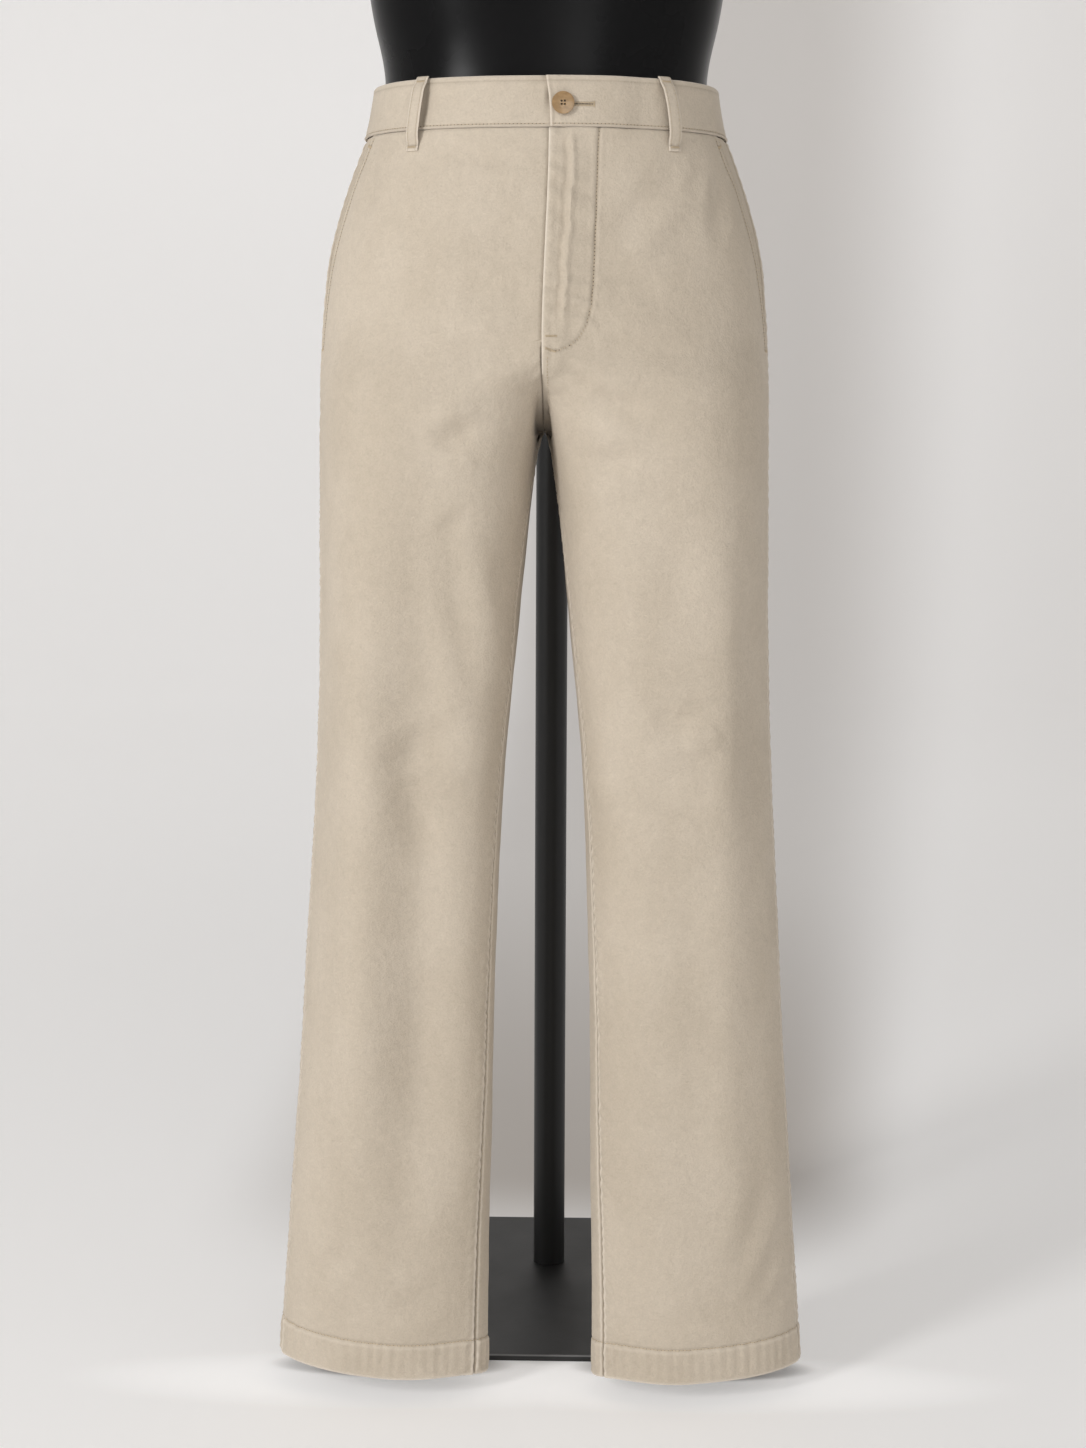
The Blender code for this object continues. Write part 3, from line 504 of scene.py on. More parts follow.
def shell(name, points, across, up, wear_and_highlight, shade, thickness):
    """The cloth of one solid: an outer face from a grid of points, made a shell by Solidify."""
    rows, columns = points.shape[:2]
    index = np.arange(rows * columns).reshape(rows, columns)
    quads = np.stack(
        (index[:-1, :-1], index[1:, :-1], index[1:, 1:], index[:-1, 1:]), axis=-1
    ).reshape(-1, 4)
    flat = points.reshape(-1, 3)
    a, b, _, d = flat[quads].transpose(1, 0, 2)
    normal = np.cross(b - a, d - a)
    centre_x = np.sign(flat[:, 0].mean()) * 0.10 if abs(flat[:, 0].mean()) > 0.04 else 0.0
    if (normal * (a - (centre_x, GARMENT_Y, 0.0)) * (1, 1, 0)).sum() < 0:
        quads = quads[:, ::-1]
    mesh = bpy.data.meshes.new("cloth_" + name)
    mesh.from_pydata(flat.tolist(), [], quads.tolist())
    layer = mesh.uv_layers.new(name="weave")
    corner = np.empty(len(mesh.loops), int)
    mesh.loops.foreach_get("vertex_index", corner)
    uv = np.stack((across.reshape(-1)[corner], up.reshape(-1)[corner]), axis=-1)
    layer.data.foreach_set("uv", uv.reshape(-1))
    # One attribute makes cloth paler, partly for wear and partly as a painted highlight; the other
    # holds painted shade.
    for layer_name, amount in (("edge_wear_and_highlight", wear_and_highlight), ("seam_shade", shade)):
        attribute = mesh.attributes.new(layer_name, "FLOAT", "POINT")
        amount = np.broadcast_to(np.clip(amount, 0.0, 1.0), (rows, columns))
        attribute.data.foreach_set("value", amount.reshape(-1).copy())
    piece = bpy.data.objects.new("cloth_" + name, mesh)
    bpy.context.scene.collection.objects.link(piece)
    wall = piece.modifiers.new("cloth", "SOLIDIFY")
    wall.thickness = thickness
    wall.offset = -1.0
    finish_piece(piece, 50.0)
    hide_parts(name)
    return piece


def choose(piece):
    """Makes a piece the only one that the next operators work on."""
    bpy.ops.object.select_all(action="DESELECT")
    piece.select_set(True)
    bpy.context.view_layer.objects.active = piece


def finish_piece(piece, smooth_angle):
    """Applies what modifiers a piece has, and shades it smooth up to an angle."""
    choose(piece)
    for modifier in list(piece.modifiers):
        bpy.ops.object.modifier_apply(modifier=modifier.name)
    bpy.ops.object.shade_smooth_by_angle(angle=math.radians(smooth_angle))
    piece.select_set(False)
    triangles = sum(len(face.vertices) - 2 for face in piece.data.polygons)
    print(piece.name, "triangles:", triangles)


# %% [markdown]
# ## The legs
# Four panels make the legs and seat. Plain seams are pressed flat, so a seam is a narrow valley
# with a low bank over its allowances, and the thread draws ripples beside it. The hem is turned
# up 31 mm and sewn once: it is a little thicker, its lower edge is a soft fold, and short upright
# ripples stand between the fold and the stitches.

# %% Relief of a panel
HEM_DEPTH = 0.031
HEM_LINE = HEM_HEIGHT + HEM_DEPTH


def hem_relief(above, across, seed):
    """Relief of the turned-up hem. Above is the distance from its lower edge."""
    inside = ease((HEM_DEPTH + 0.0012 - above) / 0.0022)
    ripple = puckers(across, above, 0.0095, seed) * ease(above / 0.010)
    ripple *= ease((HEM_DEPTH + 0.006 - above) / 0.010)
    return 0.00060 * inside + 0.00095 * ripple + lines_at(
        above, (-0.00090, HEM_DEPTH, 0.0011), (-0.00045, 0.0, 0.0007), (0.00035, 0.0026, 0.0012)
    )


def seam_relief(distance, along, seed, ripples=1.0, bank=1.0):
    """A plain seam: its valley, the bank over the allowances, and the ripples beside it."""
    fade = bump_at(distance, 0.0050, 0.0046)
    return (
        -0.00135 * bump_at(distance, 0.0, 0.0009)
        + 0.00060 * bank * ease((0.0105 - distance) / 0.0030) * ease(distance / 0.0015)
        + 0.00110 * ripples * puckers(along + 0.7 * distance, distance, 0.0098, seed) * fade
    )


def fold_relief(distance):
    """A folded edge: it rolls in at the very edge, and two rows of stitches press it down."""
    return 0.00045 * ease((0.0072 - distance) / 0.0016) + lines_at(
        distance, (-0.00080, 0.0, 0.0007), (-0.00030, 0.0016, 0.0006), (-0.00045, 0.0066, 0.0009)
    )


print("hem is turned up", HEM_DEPTH * 1000, "mm")

# %% [markdown]
# The left front laps over the right one at the fly. Its edge is folded and raised, and a curved
# row of stitches, 43 mm from the edge, holds the facing behind it. That row runs straight down
# and then bends to the centre at the fly's lower end.

# %% The fly
BAND_UNDERLAP, BAND_LIFT = 0.045, 0.0032
FLY_LIFT = 0.0021
FLY_CURVE = np.array([
    (0.0430, 1.0478), (0.0424, 1.0200), (0.0416, 0.9900), (0.0407, 0.9600), (0.0396, 0.9300),
    (0.0380, 0.9130), (0.0345, 0.8990), (0.0290, 0.8895), (0.0220, 0.8835), (0.0140, 0.8800),
    (0.0055, 0.8785),
])


def band_lift(x, angle):
    lift = BAND_LIFT * ease((0.078 - x) / (0.078 - BAND_UNDERLAP - 0.006))
    return np.where(angle < 0.0, 0.0, lift)


def fly_lift(height, x):
    flat_to = fly_edge(height) + UNDERLAP + 0.004
    width = 0.043 * (0.35 + 0.65 * ease((height - FLY_BOTTOM) / 0.05))
    width = np.maximum(width, flat_to + 0.012)
    down = ease((height - 0.852) / (FLY_BOTTOM - 0.852))
    return FLY_LIFT * ease((width - x) / (width - flat_to)) * down


def fly_row_distance(x, height):
    """How far points are from the curved row."""
    nearest = np.full(np.broadcast(x, height).shape, 1e9)
    for (x0, z0), (x1, z1) in zip(FLY_CURVE, FLY_CURVE[1:]):
        run_x, run_z = x1 - x0, z1 - z0
        share = ((x - x0) * run_x + (height - z0) * run_z) / (run_x**2 + run_z**2)
        share = np.clip(share, 0.0, 1.0)
        nearest = np.minimum(
            nearest, np.hypot(x - x0 - run_x * share, height - z0 - run_z * share)
        )
    return nearest


def fly_relief(x, height):
    """The groove of the curved row, the soft ridge of the facing's edge inside it, and ripples."""
    nearest = fly_row_distance(x, height)
    inside = ease((0.046 - x) / 0.006) * ease((height - 0.876) / 0.012)
    wander = 0.0006 * np.sin(height * 150.0) + 0.0004 * np.sin(height * 337.0 + 1.0)
    ridge_x = 0.0235 - 0.0060 * ease((1.03 - height) / 0.13) + wander
    ridge = 0.00210 * bump_at(x, ridge_x, 0.0024) - 0.00150 * bump_at(x, ridge_x - 0.0044, 0.0028)
    ridge *= ease((height - 0.894) / 0.020) * ease((1.046 - height) / 0.010)
    slant = x * 0.35 + height
    ripples = 0.00115 * np.sin(slant * 2 * math.pi / 0.0180 + 3.0 * np.sin(height * 61.0))
    ripples = ripples * (0.6 + 0.4 * np.sin(height * 83.0 + x * 40.0)) * inside
    edge_ripples = 0.00085 * np.sin(height * 2 * math.pi / 0.0140 + 2.0 * np.sin(height * 47.0))
    edge_ripples = edge_ripples * bump_at(x, 0.0095, 0.0050) * inside
    groove = lines_at(nearest, (-0.00100, 0.0, 0.0012), (0.00040, 0.0030, 0.0014))
    return groove + ridge + ripples + edge_ripples


print("rows of the fly's curve:", len(FLY_CURVE))

# %% Panels of the legs and seat
HALF_GAP = 0.00006
LEG_ROWS = np.unique(np.concatenate((
    rows_between(
        HEM_HEIGHT, 0.800, 0.0031,
        fine_low=np.array((
            0, 0.4, 0.9, 1.5, 2.3, 3.4, 5, 7.5, 10.5, 14, 18, 22, 26, 28.5, 29.6, 30.3, 31, 31.7,
            32.4, 33.5, 35.5,
        )) * 0.001,
    ),
    rows_between(0.800, 0.890, 0.0021),
    rows_between(
        0.890, WAIST_SEAM - HALF_GAP, 0.0027,
        fine_high=np.array([0, .35, .8, 1.4, 2.2, 3.4, 5.2]) * 0.001,
    ),
)).round(6))
LEG_ROWS = LEG_ROWS[np.concatenate(([True], np.diff(LEG_ROWS) > 0.0002))]


def front_edges(side):
    first = angle_past(LEG_ROWS, pocket_slant(LEG_ROWS), HALF_GAP)
    below = angle_past(LEG_ROWS, inseam(LEG_ROWS), -HALF_GAP)
    edge = fly_edge(LEG_ROWS) - FLY_REST + HALF_GAP
    if side == RIGHT:
        edge = np.where(LEG_ROWS < UNDERLAP_FROM, edge, -(fly_edge(LEG_ROWS) + UNDERLAP))
    last = np.where(LEG_ROWS < CROTCH_HEIGHT, below, angle_at_x(LEG_ROWS, edge))
    return first, last


def back_edges():
    first = angle_past(LEG_ROWS, side_seam(LEG_ROWS), -HALF_GAP)
    below = angle_past(LEG_ROWS, inseam(LEG_ROWS), HALF_GAP) - 360.0
    last = np.where(LEG_ROWS < CROTCH_HEIGHT, below, angle_at_x(LEG_ROWS, HALF_GAP, BACK))
    return first, last


def make_panel(name, side, face, seed):
    first, last = front_edges(side) if face == FRONT else back_edges()
    middle_count, fine_count = (44, 24) if face == FRONT and side == LEFT else (61, 0)
    angles, from_first, from_last, across = lay_grid(
        LEG_ROWS, first, last, middle_count, face * 90.0, fine_count, CROTCH_HEIGHT
    )
    height = np.repeat(LEG_ROWS[:, None], angles.shape[1], axis=1)
    x = section_point(height, angles)[0]
    plain = surface(side, height, angles)
    sine = np.sin(np.radians(angles))
    towards_face = ease(np.abs(sine) / 0.35)
    front_share = crease_relief(side, FRONT, x, height) * (sine > 0)
    back_share = crease_relief(side, BACK, x, height) * (sine <= 0)
    out = (front_share + back_share) * towards_face * ease(x / 0.012)
    out += drape(plain) * ease((WAIST_SEAM - height) / 0.03 + 0.25)
    leg = height < CROTCH_HEIGHT
    valley = ease((0.862 - height) / 0.045) * ease((height - 0.765) / 0.040)
    out -= 0.0055 * valley * bump_at(x, 0.0, 0.0046) * (face == FRONT)
    out += hem_relief(height - HEM_HEIGHT, across + side * 0.3, seed)
    out -= 0.00110 * bump_at(height, WAIST_SEAM, 0.0011)
    # Paler lines at the hem's fold, beside its stitch line and at the waist seam: partly wear,
    # partly painted highlight.
    wear_and_highlight = lines_at(
        height, (1.7, HEM_HEIGHT, 0.0015), (0.45, HEM_LINE - 0.0022, 0.0009),
        (0.6, WAIST_SEAM, 0.001),
    )
    # Painted shade along the hem's stitch line and the waist seam.
    shade = lines_at(height, (0.18, HEM_LINE + 0.0012, 0.0008), (0.30, WAIST_SEAM, 0.0008))
    if face == FRONT:
        # Painted shade in the crotch groove below the fly.
        shade += ease((0.852 - height) / 0.032) * ~leg * bump_at(x, 0.0, 0.0062)
        slant = height > POCKET_BOTTOM + 0.001
        plain_side = seam_relief(from_first, height, seed + 2, 0.45)
        out += np.where(slant, fold_relief(from_first), plain_side)
        seam_end, seam_fade = (UNDERLAP_FROM, 0.010) if side == RIGHT else (0.864, 0.014)
        seamed = ease((seam_end - height) / seam_fade)
        out += seamed * seam_relief(from_last, height, seed + 4, bank=np.where(leg, 1.0, 0.2))
        out += (1.0 - seamed) * fold_relief(from_last) * (side == LEFT)
        if side == LEFT:
            out += fly_lift(height, x) + fly_relief(x, height)
            join = ease((height - WAIST_SEAM + 0.016) / 0.016)
            out += np.maximum(0.0, 0.92 * band_lift(x, angles) - fly_lift(height, x)) * join
            # Painted shade along the fly's curved row of stitches.
            shade += 0.50 * bump_at(fly_row_distance(x, height), 0.0, 0.0010)
        else:
            from_lap = x + fly_edge(height)
            # Painted shadow on the right front, beside the edge of the left front that laps over
            # it.
            shade += 0.9 * bump_at(from_lap, 0.0010, 0.0012) * (height > 0.886)
        folded = ~leg & (height > (UNDERLAP_FROM if side == RIGHT else 0.862))
        # Paler pocket, fly and seam edges: partly wear, partly painted highlight.
        wear_and_highlight += bump_at(from_first, np.where(slant, 0.0004, 0.0022), 0.0009)
        lines = 1.3 * bump_at(from_last, 0.0024, 0.0010) * leg
        wear_and_highlight += np.where(folded & (side == LEFT), 1.3 * bump_at(from_last, 0.0002, 0.0012), lines)
        # Painted shade along the seams and the pocket's stitch row.
        seam_line = bump_at(from_first, np.where(slant, 0.0066, 0.0), 0.0008)
        shade += np.where(slant, 0.30, 0.6) * seam_line
        shade += np.where(folded, 0.0, 0.60 * bump_at(from_last, 0.0, 0.0008))
    else:
        # Painted shade along both seams of a back panel.
        shade += 0.6 * bump_at(from_first, 0.0, 0.0008) + 0.55 * bump_at(from_last, 0.0, 0.0008)
        out += seam_relief(from_first, height, seed + 2, 0.45)
        out += seam_relief(from_last, height, seed + 4, ripples=np.where(leg, 0.4, 0.25))
        # Paler seam banks: partly wear, partly painted highlight.
        wear_and_highlight += bump_at(from_first, 0.0020, 0.0009) + bump_at(from_last, 0.0020, 0.0009)
    points = surface(side, height, angles, out)
    held = ~leg & ((height < UNDERLAP_FROM) | (side == LEFT) | (face == BACK))
    kept = plain[..., 0] + (points[..., 0] - plain[..., 0]) * ease(from_last / 0.005)
    points[..., 0] = np.where(held, kept, points[..., 0])
    return shell(name, points, across, height, wear_and_highlight, shade, PANEL_WALL)


PANELS = (
    make_panel("front_right", RIGHT, FRONT, 11),
    make_panel("front_left", LEFT, FRONT, 23),
    make_panel("back_right", RIGHT, BACK, 37),
    make_panel("back_left", LEFT, BACK, 51),
)
front_right, front_left, back_right, back_left = PANELS

# %% [markdown]
# ## Pocket facings
# A slant pocket shows a strip of the same twill behind its opening, in a darker copy of the
# twill's colours that is painted shade. It is sewn into the side seam and runs on below the
# front's folded edge, a cloth's thickness deeper, with painted shadow where that edge lies over it.

# %% Pocket facings
FACING_ROWS = rows_between(POCKET_BOTTOM, WAIST_SEAM - 0.0004, 0.0027)


def make_facing(name, side):
    first = angle_past(FACING_ROWS, side_seam(FACING_ROWS), HALF_GAP)
    last = angle_past(FACING_ROWS, pocket_slant(FACING_ROWS), 0.009)
    angles, from_first, from_last, across = lay_grid(FACING_ROWS, first, last, 14, 90.0)
    height = np.repeat(FACING_ROWS[:, None], angles.shape[1], axis=1)
    plain = surface(side, height, angles)
    out = -0.0009 - 0.0011 * ease(from_first / 0.006)
    out += drape(plain, 0.35) - 0.0006 * bump_at(from_first, 0.0, 0.0008)
    # Paler along its side-seam edge: partly wear, partly painted highlight.
    wear_and_highlight = bump_at(from_first, 0.0, 0.0010)
    points = surface(side, height, angles, out)
    # Painted shadow where the front's folded edge lies over the facing.
    shade = bump_at(from_last, 0.0085, 0.0020)
    return shell(name, points, across, height, wear_and_highlight, shade, FACING_WALL)


facing_right = make_facing("pocket_facing_right", RIGHT)
facing_left = make_facing("pocket_facing_left", LEFT)

# %% [markdown]
# ## The waistband
# The band is a folded strip with an interlining, so it is thicker and flatter than the legs. Its
# top edge is a fold with a faint line below it, and one row of stitches runs above its lower edge.
# The left half laps over the right one and ends just past the centre, below the button.

# %% Waistband
LOOP_WIDTH, LOOP_FOOT, LOOP_HEAD = 0.0106, 0.1012, 0.0919
LOOP_LOW, LOOP_LENGTH = 1.0320, 0.0565
BAND_ROWS = rows_between(
    WAIST_SEAM + HALF_GAP, BAND_TOP, 0.0020,
    fine_low=np.array([0, .35, .8, 1.3, 1.9, 2.4, 2.9, 3.5, 4.5]) * 0.001,
    fine_high=np.array([0, .3, .7, 1.2, 2.0, 3.0, 4.0, 5.0]) * 0.001,
)


def make_band(name, side, seed):
    first = angle_at_x(BAND_ROWS, HALF_GAP, BACK)
    share = (BAND_ROWS - WAIST_SEAM) / (BAND_TOP - WAIST_SEAM)
    edge = 0.0060 + (0.0025 - 0.0060) * share + 0.0009 * np.sin(share * math.pi)
    last = angle_at_x(BAND_ROWS, edge if side == LEFT else -BAND_UNDERLAP)
    angles, from_first, from_last, across = lay_grid(BAND_ROWS, first, last, 120, 90.0)
    height = np.repeat(BAND_ROWS[:, None], angles.shape[1], axis=1)
    x = section_point(height, angles)[0]
    plain = surface(side, height, angles)
    above, below = height - WAIST_SEAM, BAND_TOP - height
    out = 0.0004 + (band_lift(x, angles) if side == LEFT else 0.0)
    out = out + drape(plain, 0.30)
    out += lines_at(
        above, (-0.0012, 0.0, 0.0006), (0.00070, 0.0010, 0.0009), (-0.00045, 0.0030, 0.0008)
    )
    out += lines_at(below, (-0.0010, 0.0, 0.0007), (-0.00022, 0.0042, 0.0008))
    out += 0.00022 * puckers(across, above, 0.0085, seed) * bump_at(above, 0.005, 0.004)
    out += 0.00035 * hills(plain, (0.016, 0.016, 0.020), seed + 3)
    # Paler lines at the band's lower edge and top fold: partly wear, partly painted highlight.
    wear_and_highlight = bump_at(above, 0.0, 0.0009) + bump_at(below, 0.0, 0.0010)
    if side == LEFT:
        out += lines_at(
            from_last, (-0.0010, 0.0, 0.0007), (0.00040, 0.0012, 0.0008), (-0.00030, 0.0040, 0.0012)
        )
        # The left band's end is paler: partly wear, partly painted highlight.
        wear_and_highlight += bump_at(from_last, 0.0, 0.0010)
    # Painted shade along the waist seam and the line below the top fold.
    shade = 0.35 * bump_at(above, 0.0, 0.0005) + 0.35 * bump_at(below, 0.0042, 0.0007)
    # Each front loop's cast shadow is painted on the band, on the loop's side away from the light.
    loop_x = LOOP_FOOT + (LOOP_HEAD - LOOP_FOOT) * (height - LOOP_LOW) / LOOP_LENGTH
    past_loop = side * (x - loop_x) - LOOP_WIDTH / 2
    shade += 0.75 * bump_at(past_loop, 0.0008, 0.0016) * (angles > 0.0) * ease(above / 0.004)
    # On the right band, painted shadow beside the end of the left band that laps over it.
    if side == RIGHT:
        shade += 0.9 * bump_at(x + edge[:, None], 0.0008, 0.0011)
    points = surface(side, height, angles, out)
    return shell(name, points, across, height, wear_and_highlight, shade, BAND_WALL)


band_right = make_band("waistband_right", RIGHT, 71)
band_left = make_band("waistband_left", LEFT, 83)
BANDS = (band_right, band_left)

# %% [markdown]
# ## Belt loops
# A loop is a narrow folded strip, sewn along both edges. Its foot is turned under and tacked below
# the waist seam, its head goes over the band's top edge, and between them it stands off the band,
# far enough for a belt.

# %% Belt loops
LOOP_LINE = curve_through(
    (1.0320, 1.0370, 1.0430, 1.0520, 1.0650, 1.0780, 1.0840, 1.0885),
    (0.0002, 0.0006, 0.0036, 0.0056, 0.0064, 0.0056, 0.0028, 0.0010),
)
LOOP_FINE = np.array([0, 0.3, 0.7, 1.2, 2, 3]) * 0.001
LOOP_ROWS = rows_between(
    LOOP_LOW, LOOP_LOW + LOOP_LENGTH, 0.0012, fine_low=LOOP_FINE, fine_high=LOOP_FINE
)
# the name, the side, x of the foot and of the head, the face, and how far the loop bows sideways
LOOP_TABLE = (
    ("belt_loop_front_right", RIGHT, LOOP_FOOT, LOOP_HEAD, FRONT, -0.0010),
    ("belt_loop_front_left", LEFT, LOOP_FOOT, LOOP_HEAD, FRONT, 0.0004),
    ("belt_loop_back_right", RIGHT, 0.0900, 0.0900, BACK, 0.0),
    ("belt_loop_back_left", LEFT, 0.0900, 0.0900, BACK, 0.0006),
    ("belt_loop_centre_back", LEFT, 0.0, 0.0, BACK, 0.0),
)


def loop_middle(rows, foot_x, head_x, face, bow):
    """x and the angle of a loop's middle line, at heights along the loop."""
    share = (rows - LOOP_LOW) / LOOP_LENGTH
    centre_x = foot_x + (head_x - foot_x) * share + bow * np.sin(share * math.pi)
    return centre_x, angle_at_x(np.minimum(rows, BAND_TOP), centre_x, face)


def make_loop(name, side, foot_x, head_x, face, bow):
    level = np.minimum(LOOP_ROWS, BAND_TOP)
    centre_x, centre = loop_middle(LOOP_ROWS, foot_x, head_x, face, bow)
    first = angle_past(level, centre, -LOOP_WIDTH / 2)
    last = angle_past(level, centre, LOOP_WIDTH / 2)
    half = np.array([0.0, 0.04, 0.10, 0.17, 0.24, 0.33, 0.42])
    place = np.concatenate((half, [0.5], 1.0 - half[::-1]))
    angles = first[:, None] + (last - first)[:, None] * place
    height = np.repeat(level[:, None], len(place), axis=1)
    rows = np.repeat(LOOP_ROWS[:, None], len(place), axis=1)
    lift = band_lift(centre_x, centre)[:, None] if side == LEFT and face == FRONT else 0.0
    from_edge = np.minimum(place, 1.0 - place) * LOOP_WIDTH + 0.0 * rows
    from_foot, from_head = rows - LOOP_ROWS[0], LOOP_ROWS[-1] - rows
    out = 0.0004 + lift + LOOP_LINE(rows) + PANEL_WALL
    for distance in (from_edge, from_foot, from_head):
        out = out - 0.0006 * bump_at(distance, 0.0, 0.0006)
    out -= 0.00018 * bump_at(from_edge, 0.0018, 0.0005)
    out -= 0.00030 * bump_at(from_foot, 0.0042, 0.0008)
    out -= 0.00025 * bump_at(from_head, 0.0050, 0.0008)
    # Paler edges and foot: partly wear, partly painted highlight.
    wear_and_highlight = bump_at(from_edge, 0.0, 0.0008) + bump_at(from_foot, 0.0, 0.0009)
    points = surface(side, height, angles, out)
    points[..., 2] += rows - height
    across = (place - 0.5) * LOOP_WIDTH + 0.0 * rows
    # Painted shade at the foot's fold and along the stitch lines.
    shade = 0.6 * bump_at(from_foot, 0.0046, 0.0006) + 0.30 * bump_at(from_edge, 0.0019, 0.0004)
    return shell(name, points, across, rows, wear_and_highlight, shade, LOOP_WALL)


LOOPS = tuple(make_loop(*row) for row in LOOP_TABLE)
print("loops:", len(LOOPS))

# %% [markdown]
# ## The torso form
# The form is moulded plastic, gloss black, smooth and without limbs. Its solid has the right
# rings already, so a merged copy of it is rounded with Subdivision Surface, which suits a shape
# with no sharp edge.

# %% Torso form
def copy_solid(node, name):
    """A merged copy of a solid, in quads, with its own mesh."""
    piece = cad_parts[node].copy()
    piece.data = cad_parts[node].data.copy()
    piece.name = name
    for key in list(piece.keys()):
        del piece[key]
    piece.parent = None
    piece.matrix_world = Matrix.Identity(4)
    bpy.context.scene.collection.objects.link(piece)
    choose(piece)
    bpy.ops.object.mode_set(mode="EDIT")
    bpy.ops.mesh.select_all(action="SELECT")
    bpy.ops.mesh.remove_doubles(threshold=0.00002)
    bpy.ops.mesh.tris_convert_to_quads(
        face_threshold=math.radians(40), shape_threshold=math.radians(60)
    )
    bpy.ops.object.mode_set(mode="OBJECT")
    return piece


form = copy_solid("torso_form", "form_moulding")
rounded = form.modifiers.new("rounded", "SUBSURF")
rounded.levels = rounded.render_levels = 2
finish_piece(form, 60.0)
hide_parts("torso_form")

# %% [markdown]
# ## The upright
# The stand is a bent steel tube with a satin black coat: straight up from the plate, through one
# quarter bend, and forward into the boss on the form's back. A circle is extruded up, spun
# through the bend, and extruded forward, the way a tube bender makes it.

# %% Upright
UPRIGHT_RADIUS, UPRIGHT_Y, BEND_RADIUS, ARM_HEIGHT = 0.0150, 0.055, 0.055, 1.165
low, high = (np.array(corner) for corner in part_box("upright"))
bpy.ops.mesh.primitive_circle_add(
    vertices=48, radius=UPRIGHT_RADIUS, fill_type="NGON", location=(0.0, UPRIGHT_Y, low[2])
)
upright = bpy.context.object
upright.name = "upright_tube"
bpy.ops.object.mode_set(mode="EDIT")
bpy.ops.mesh.select_all(action="SELECT")
bpy.ops.mesh.extrude_region_move(
    TRANSFORM_OT_translate={"value": (0.0, 0.0, ARM_HEIGHT - BEND_RADIUS - low[2])}
)
bpy.ops.mesh.spin(
    steps=20, angle=math.radians(-90.0), axis=(1.0, 0.0, 0.0),
    center=(0.0, UPRIGHT_Y - BEND_RADIUS, ARM_HEIGHT - BEND_RADIUS),
)
bpy.ops.mesh.extrude_region_move(
    TRANSFORM_OT_translate={"value": (0.0, low[1] - (UPRIGHT_Y - BEND_RADIUS), 0.0)}
)
bpy.ops.mesh.select_all(action="SELECT")
bpy.ops.mesh.remove_doubles(threshold=0.00001)
bpy.ops.mesh.normals_make_consistent(inside=False)
bpy.ops.object.mode_set(mode="OBJECT")
bpy.ops.object.transform_apply(location=True, rotation=True, scale=True)
finish_piece(upright, 40.0)
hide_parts("upright")
upright_points = np.array([vertex.co for vertex in upright.data.vertices])
print("upright from", upright_points.min(0).round(4), "to", upright_points.max(0).round(4))
print("its solid from", low, "to", high)

# %% [markdown]
# ## The button
# A trouser button is turned from a blank: a raised rim round a dished middle, with four holes for
# the thread. A disc is inset twice and pushed in for the dish, its edges are bevelled, and the
# holes are cut with a Boolean. Its seat is the raised end of the band.

# %% Button
BUTTON_RADIUS, BUTTON_THICK = 0.00875, 0.0030
BUTTON_HEIGHT, BUTTON_X, SHORT_WAY = 1.0655, 0.0155, 0.004
button_angle = angle_at_x(BUTTON_HEIGHT, BUTTON_X)
button_out = 0.0004 + BAND_LIFT
higher = BUTTON_HEIGHT + SHORT_WAY
here = surface(LEFT, BUTTON_HEIGHT, button_angle, button_out)
above = surface(LEFT, higher, angle_at_x(higher, BUTTON_X), button_out)
beside = surface(
    LEFT, BUTTON_HEIGHT, angle_past(BUTTON_HEIGHT, button_angle, -SHORT_WAY), button_out
)
right = Vector(beside - here).normalized()
up = Vector(above - here).normalized()
facing = right.cross(up).normalized()
up = facing.cross(right).normalized()
BUTTON_PLACE = Matrix.Translation(Vector(here) + facing * 0.0006) @ Matrix(
    (right, up, facing)
).transposed().to_4x4()


def faces_facing(mesh, axis, least, radius):
    """Selects the faces that face along an axis and whose centre is within a radius of it."""
    edit = bmesh.from_edit_mesh(mesh)
    for face in edit.faces:
        centre = face.calc_center_median()
        face.select = face.normal @ axis > least and math.hypot(centre.x, centre.y) < radius
    edit.select_flush_mode()
    bmesh.update_edit_mesh(mesh)


bpy.ops.mesh.primitive_cylinder_add(
    vertices=64, radius=BUTTON_RADIUS, depth=BUTTON_THICK, location=(0, 0, BUTTON_THICK / 2)
)
button = bpy.context.object
button.name = "button_turned"
bpy.ops.object.transform_apply(location=True, rotation=True, scale=True)
bpy.ops.object.mode_set(mode="EDIT")
faces_facing(button.data, Vector((0, 0, -1)), 0.9, 1.0)
bpy.ops.transform.resize(value=(0.82, 0.82, 1.0))
faces_facing(button.data, Vector((0, 0, 1)), 0.9, 1.0)
bpy.ops.mesh.inset(thickness=0.0018)
bpy.ops.mesh.inset(thickness=0.0008, depth=-0.0012)
bpy.ops.mesh.inset(thickness=0.0030, depth=-0.0001)
bpy.ops.mesh.select_all(action="DESELECT")
bpy.ops.object.mode_set(mode="OBJECT")
soft = button.modifiers.new("turned_edges", "BEVEL")
soft.width = 0.00045
soft.segments = 3
soft.limit_method = "ANGLE"
soft.angle_limit = math.radians(25)
cutters = []
for step in range(4):
    spot = math.radians(45 + 90 * step)
    bpy.ops.mesh.primitive_cylinder_add(
        vertices=20, radius=0.00085, depth=0.02,
        location=(0.0017 * math.cos(spot), 0.0017 * math.sin(spot), 0),
    )
    cutters.append(bpy.context.object)
    hole = button.modifiers.new("hole", "BOOLEAN")
    hole.operation, hole.solver, hole.object = "DIFFERENCE", "EXACT", cutters[-1]
finish_piece(button, 35.0)
for cutter in cutters:
    bpy.data.objects.remove(cutter, do_unlink=True)
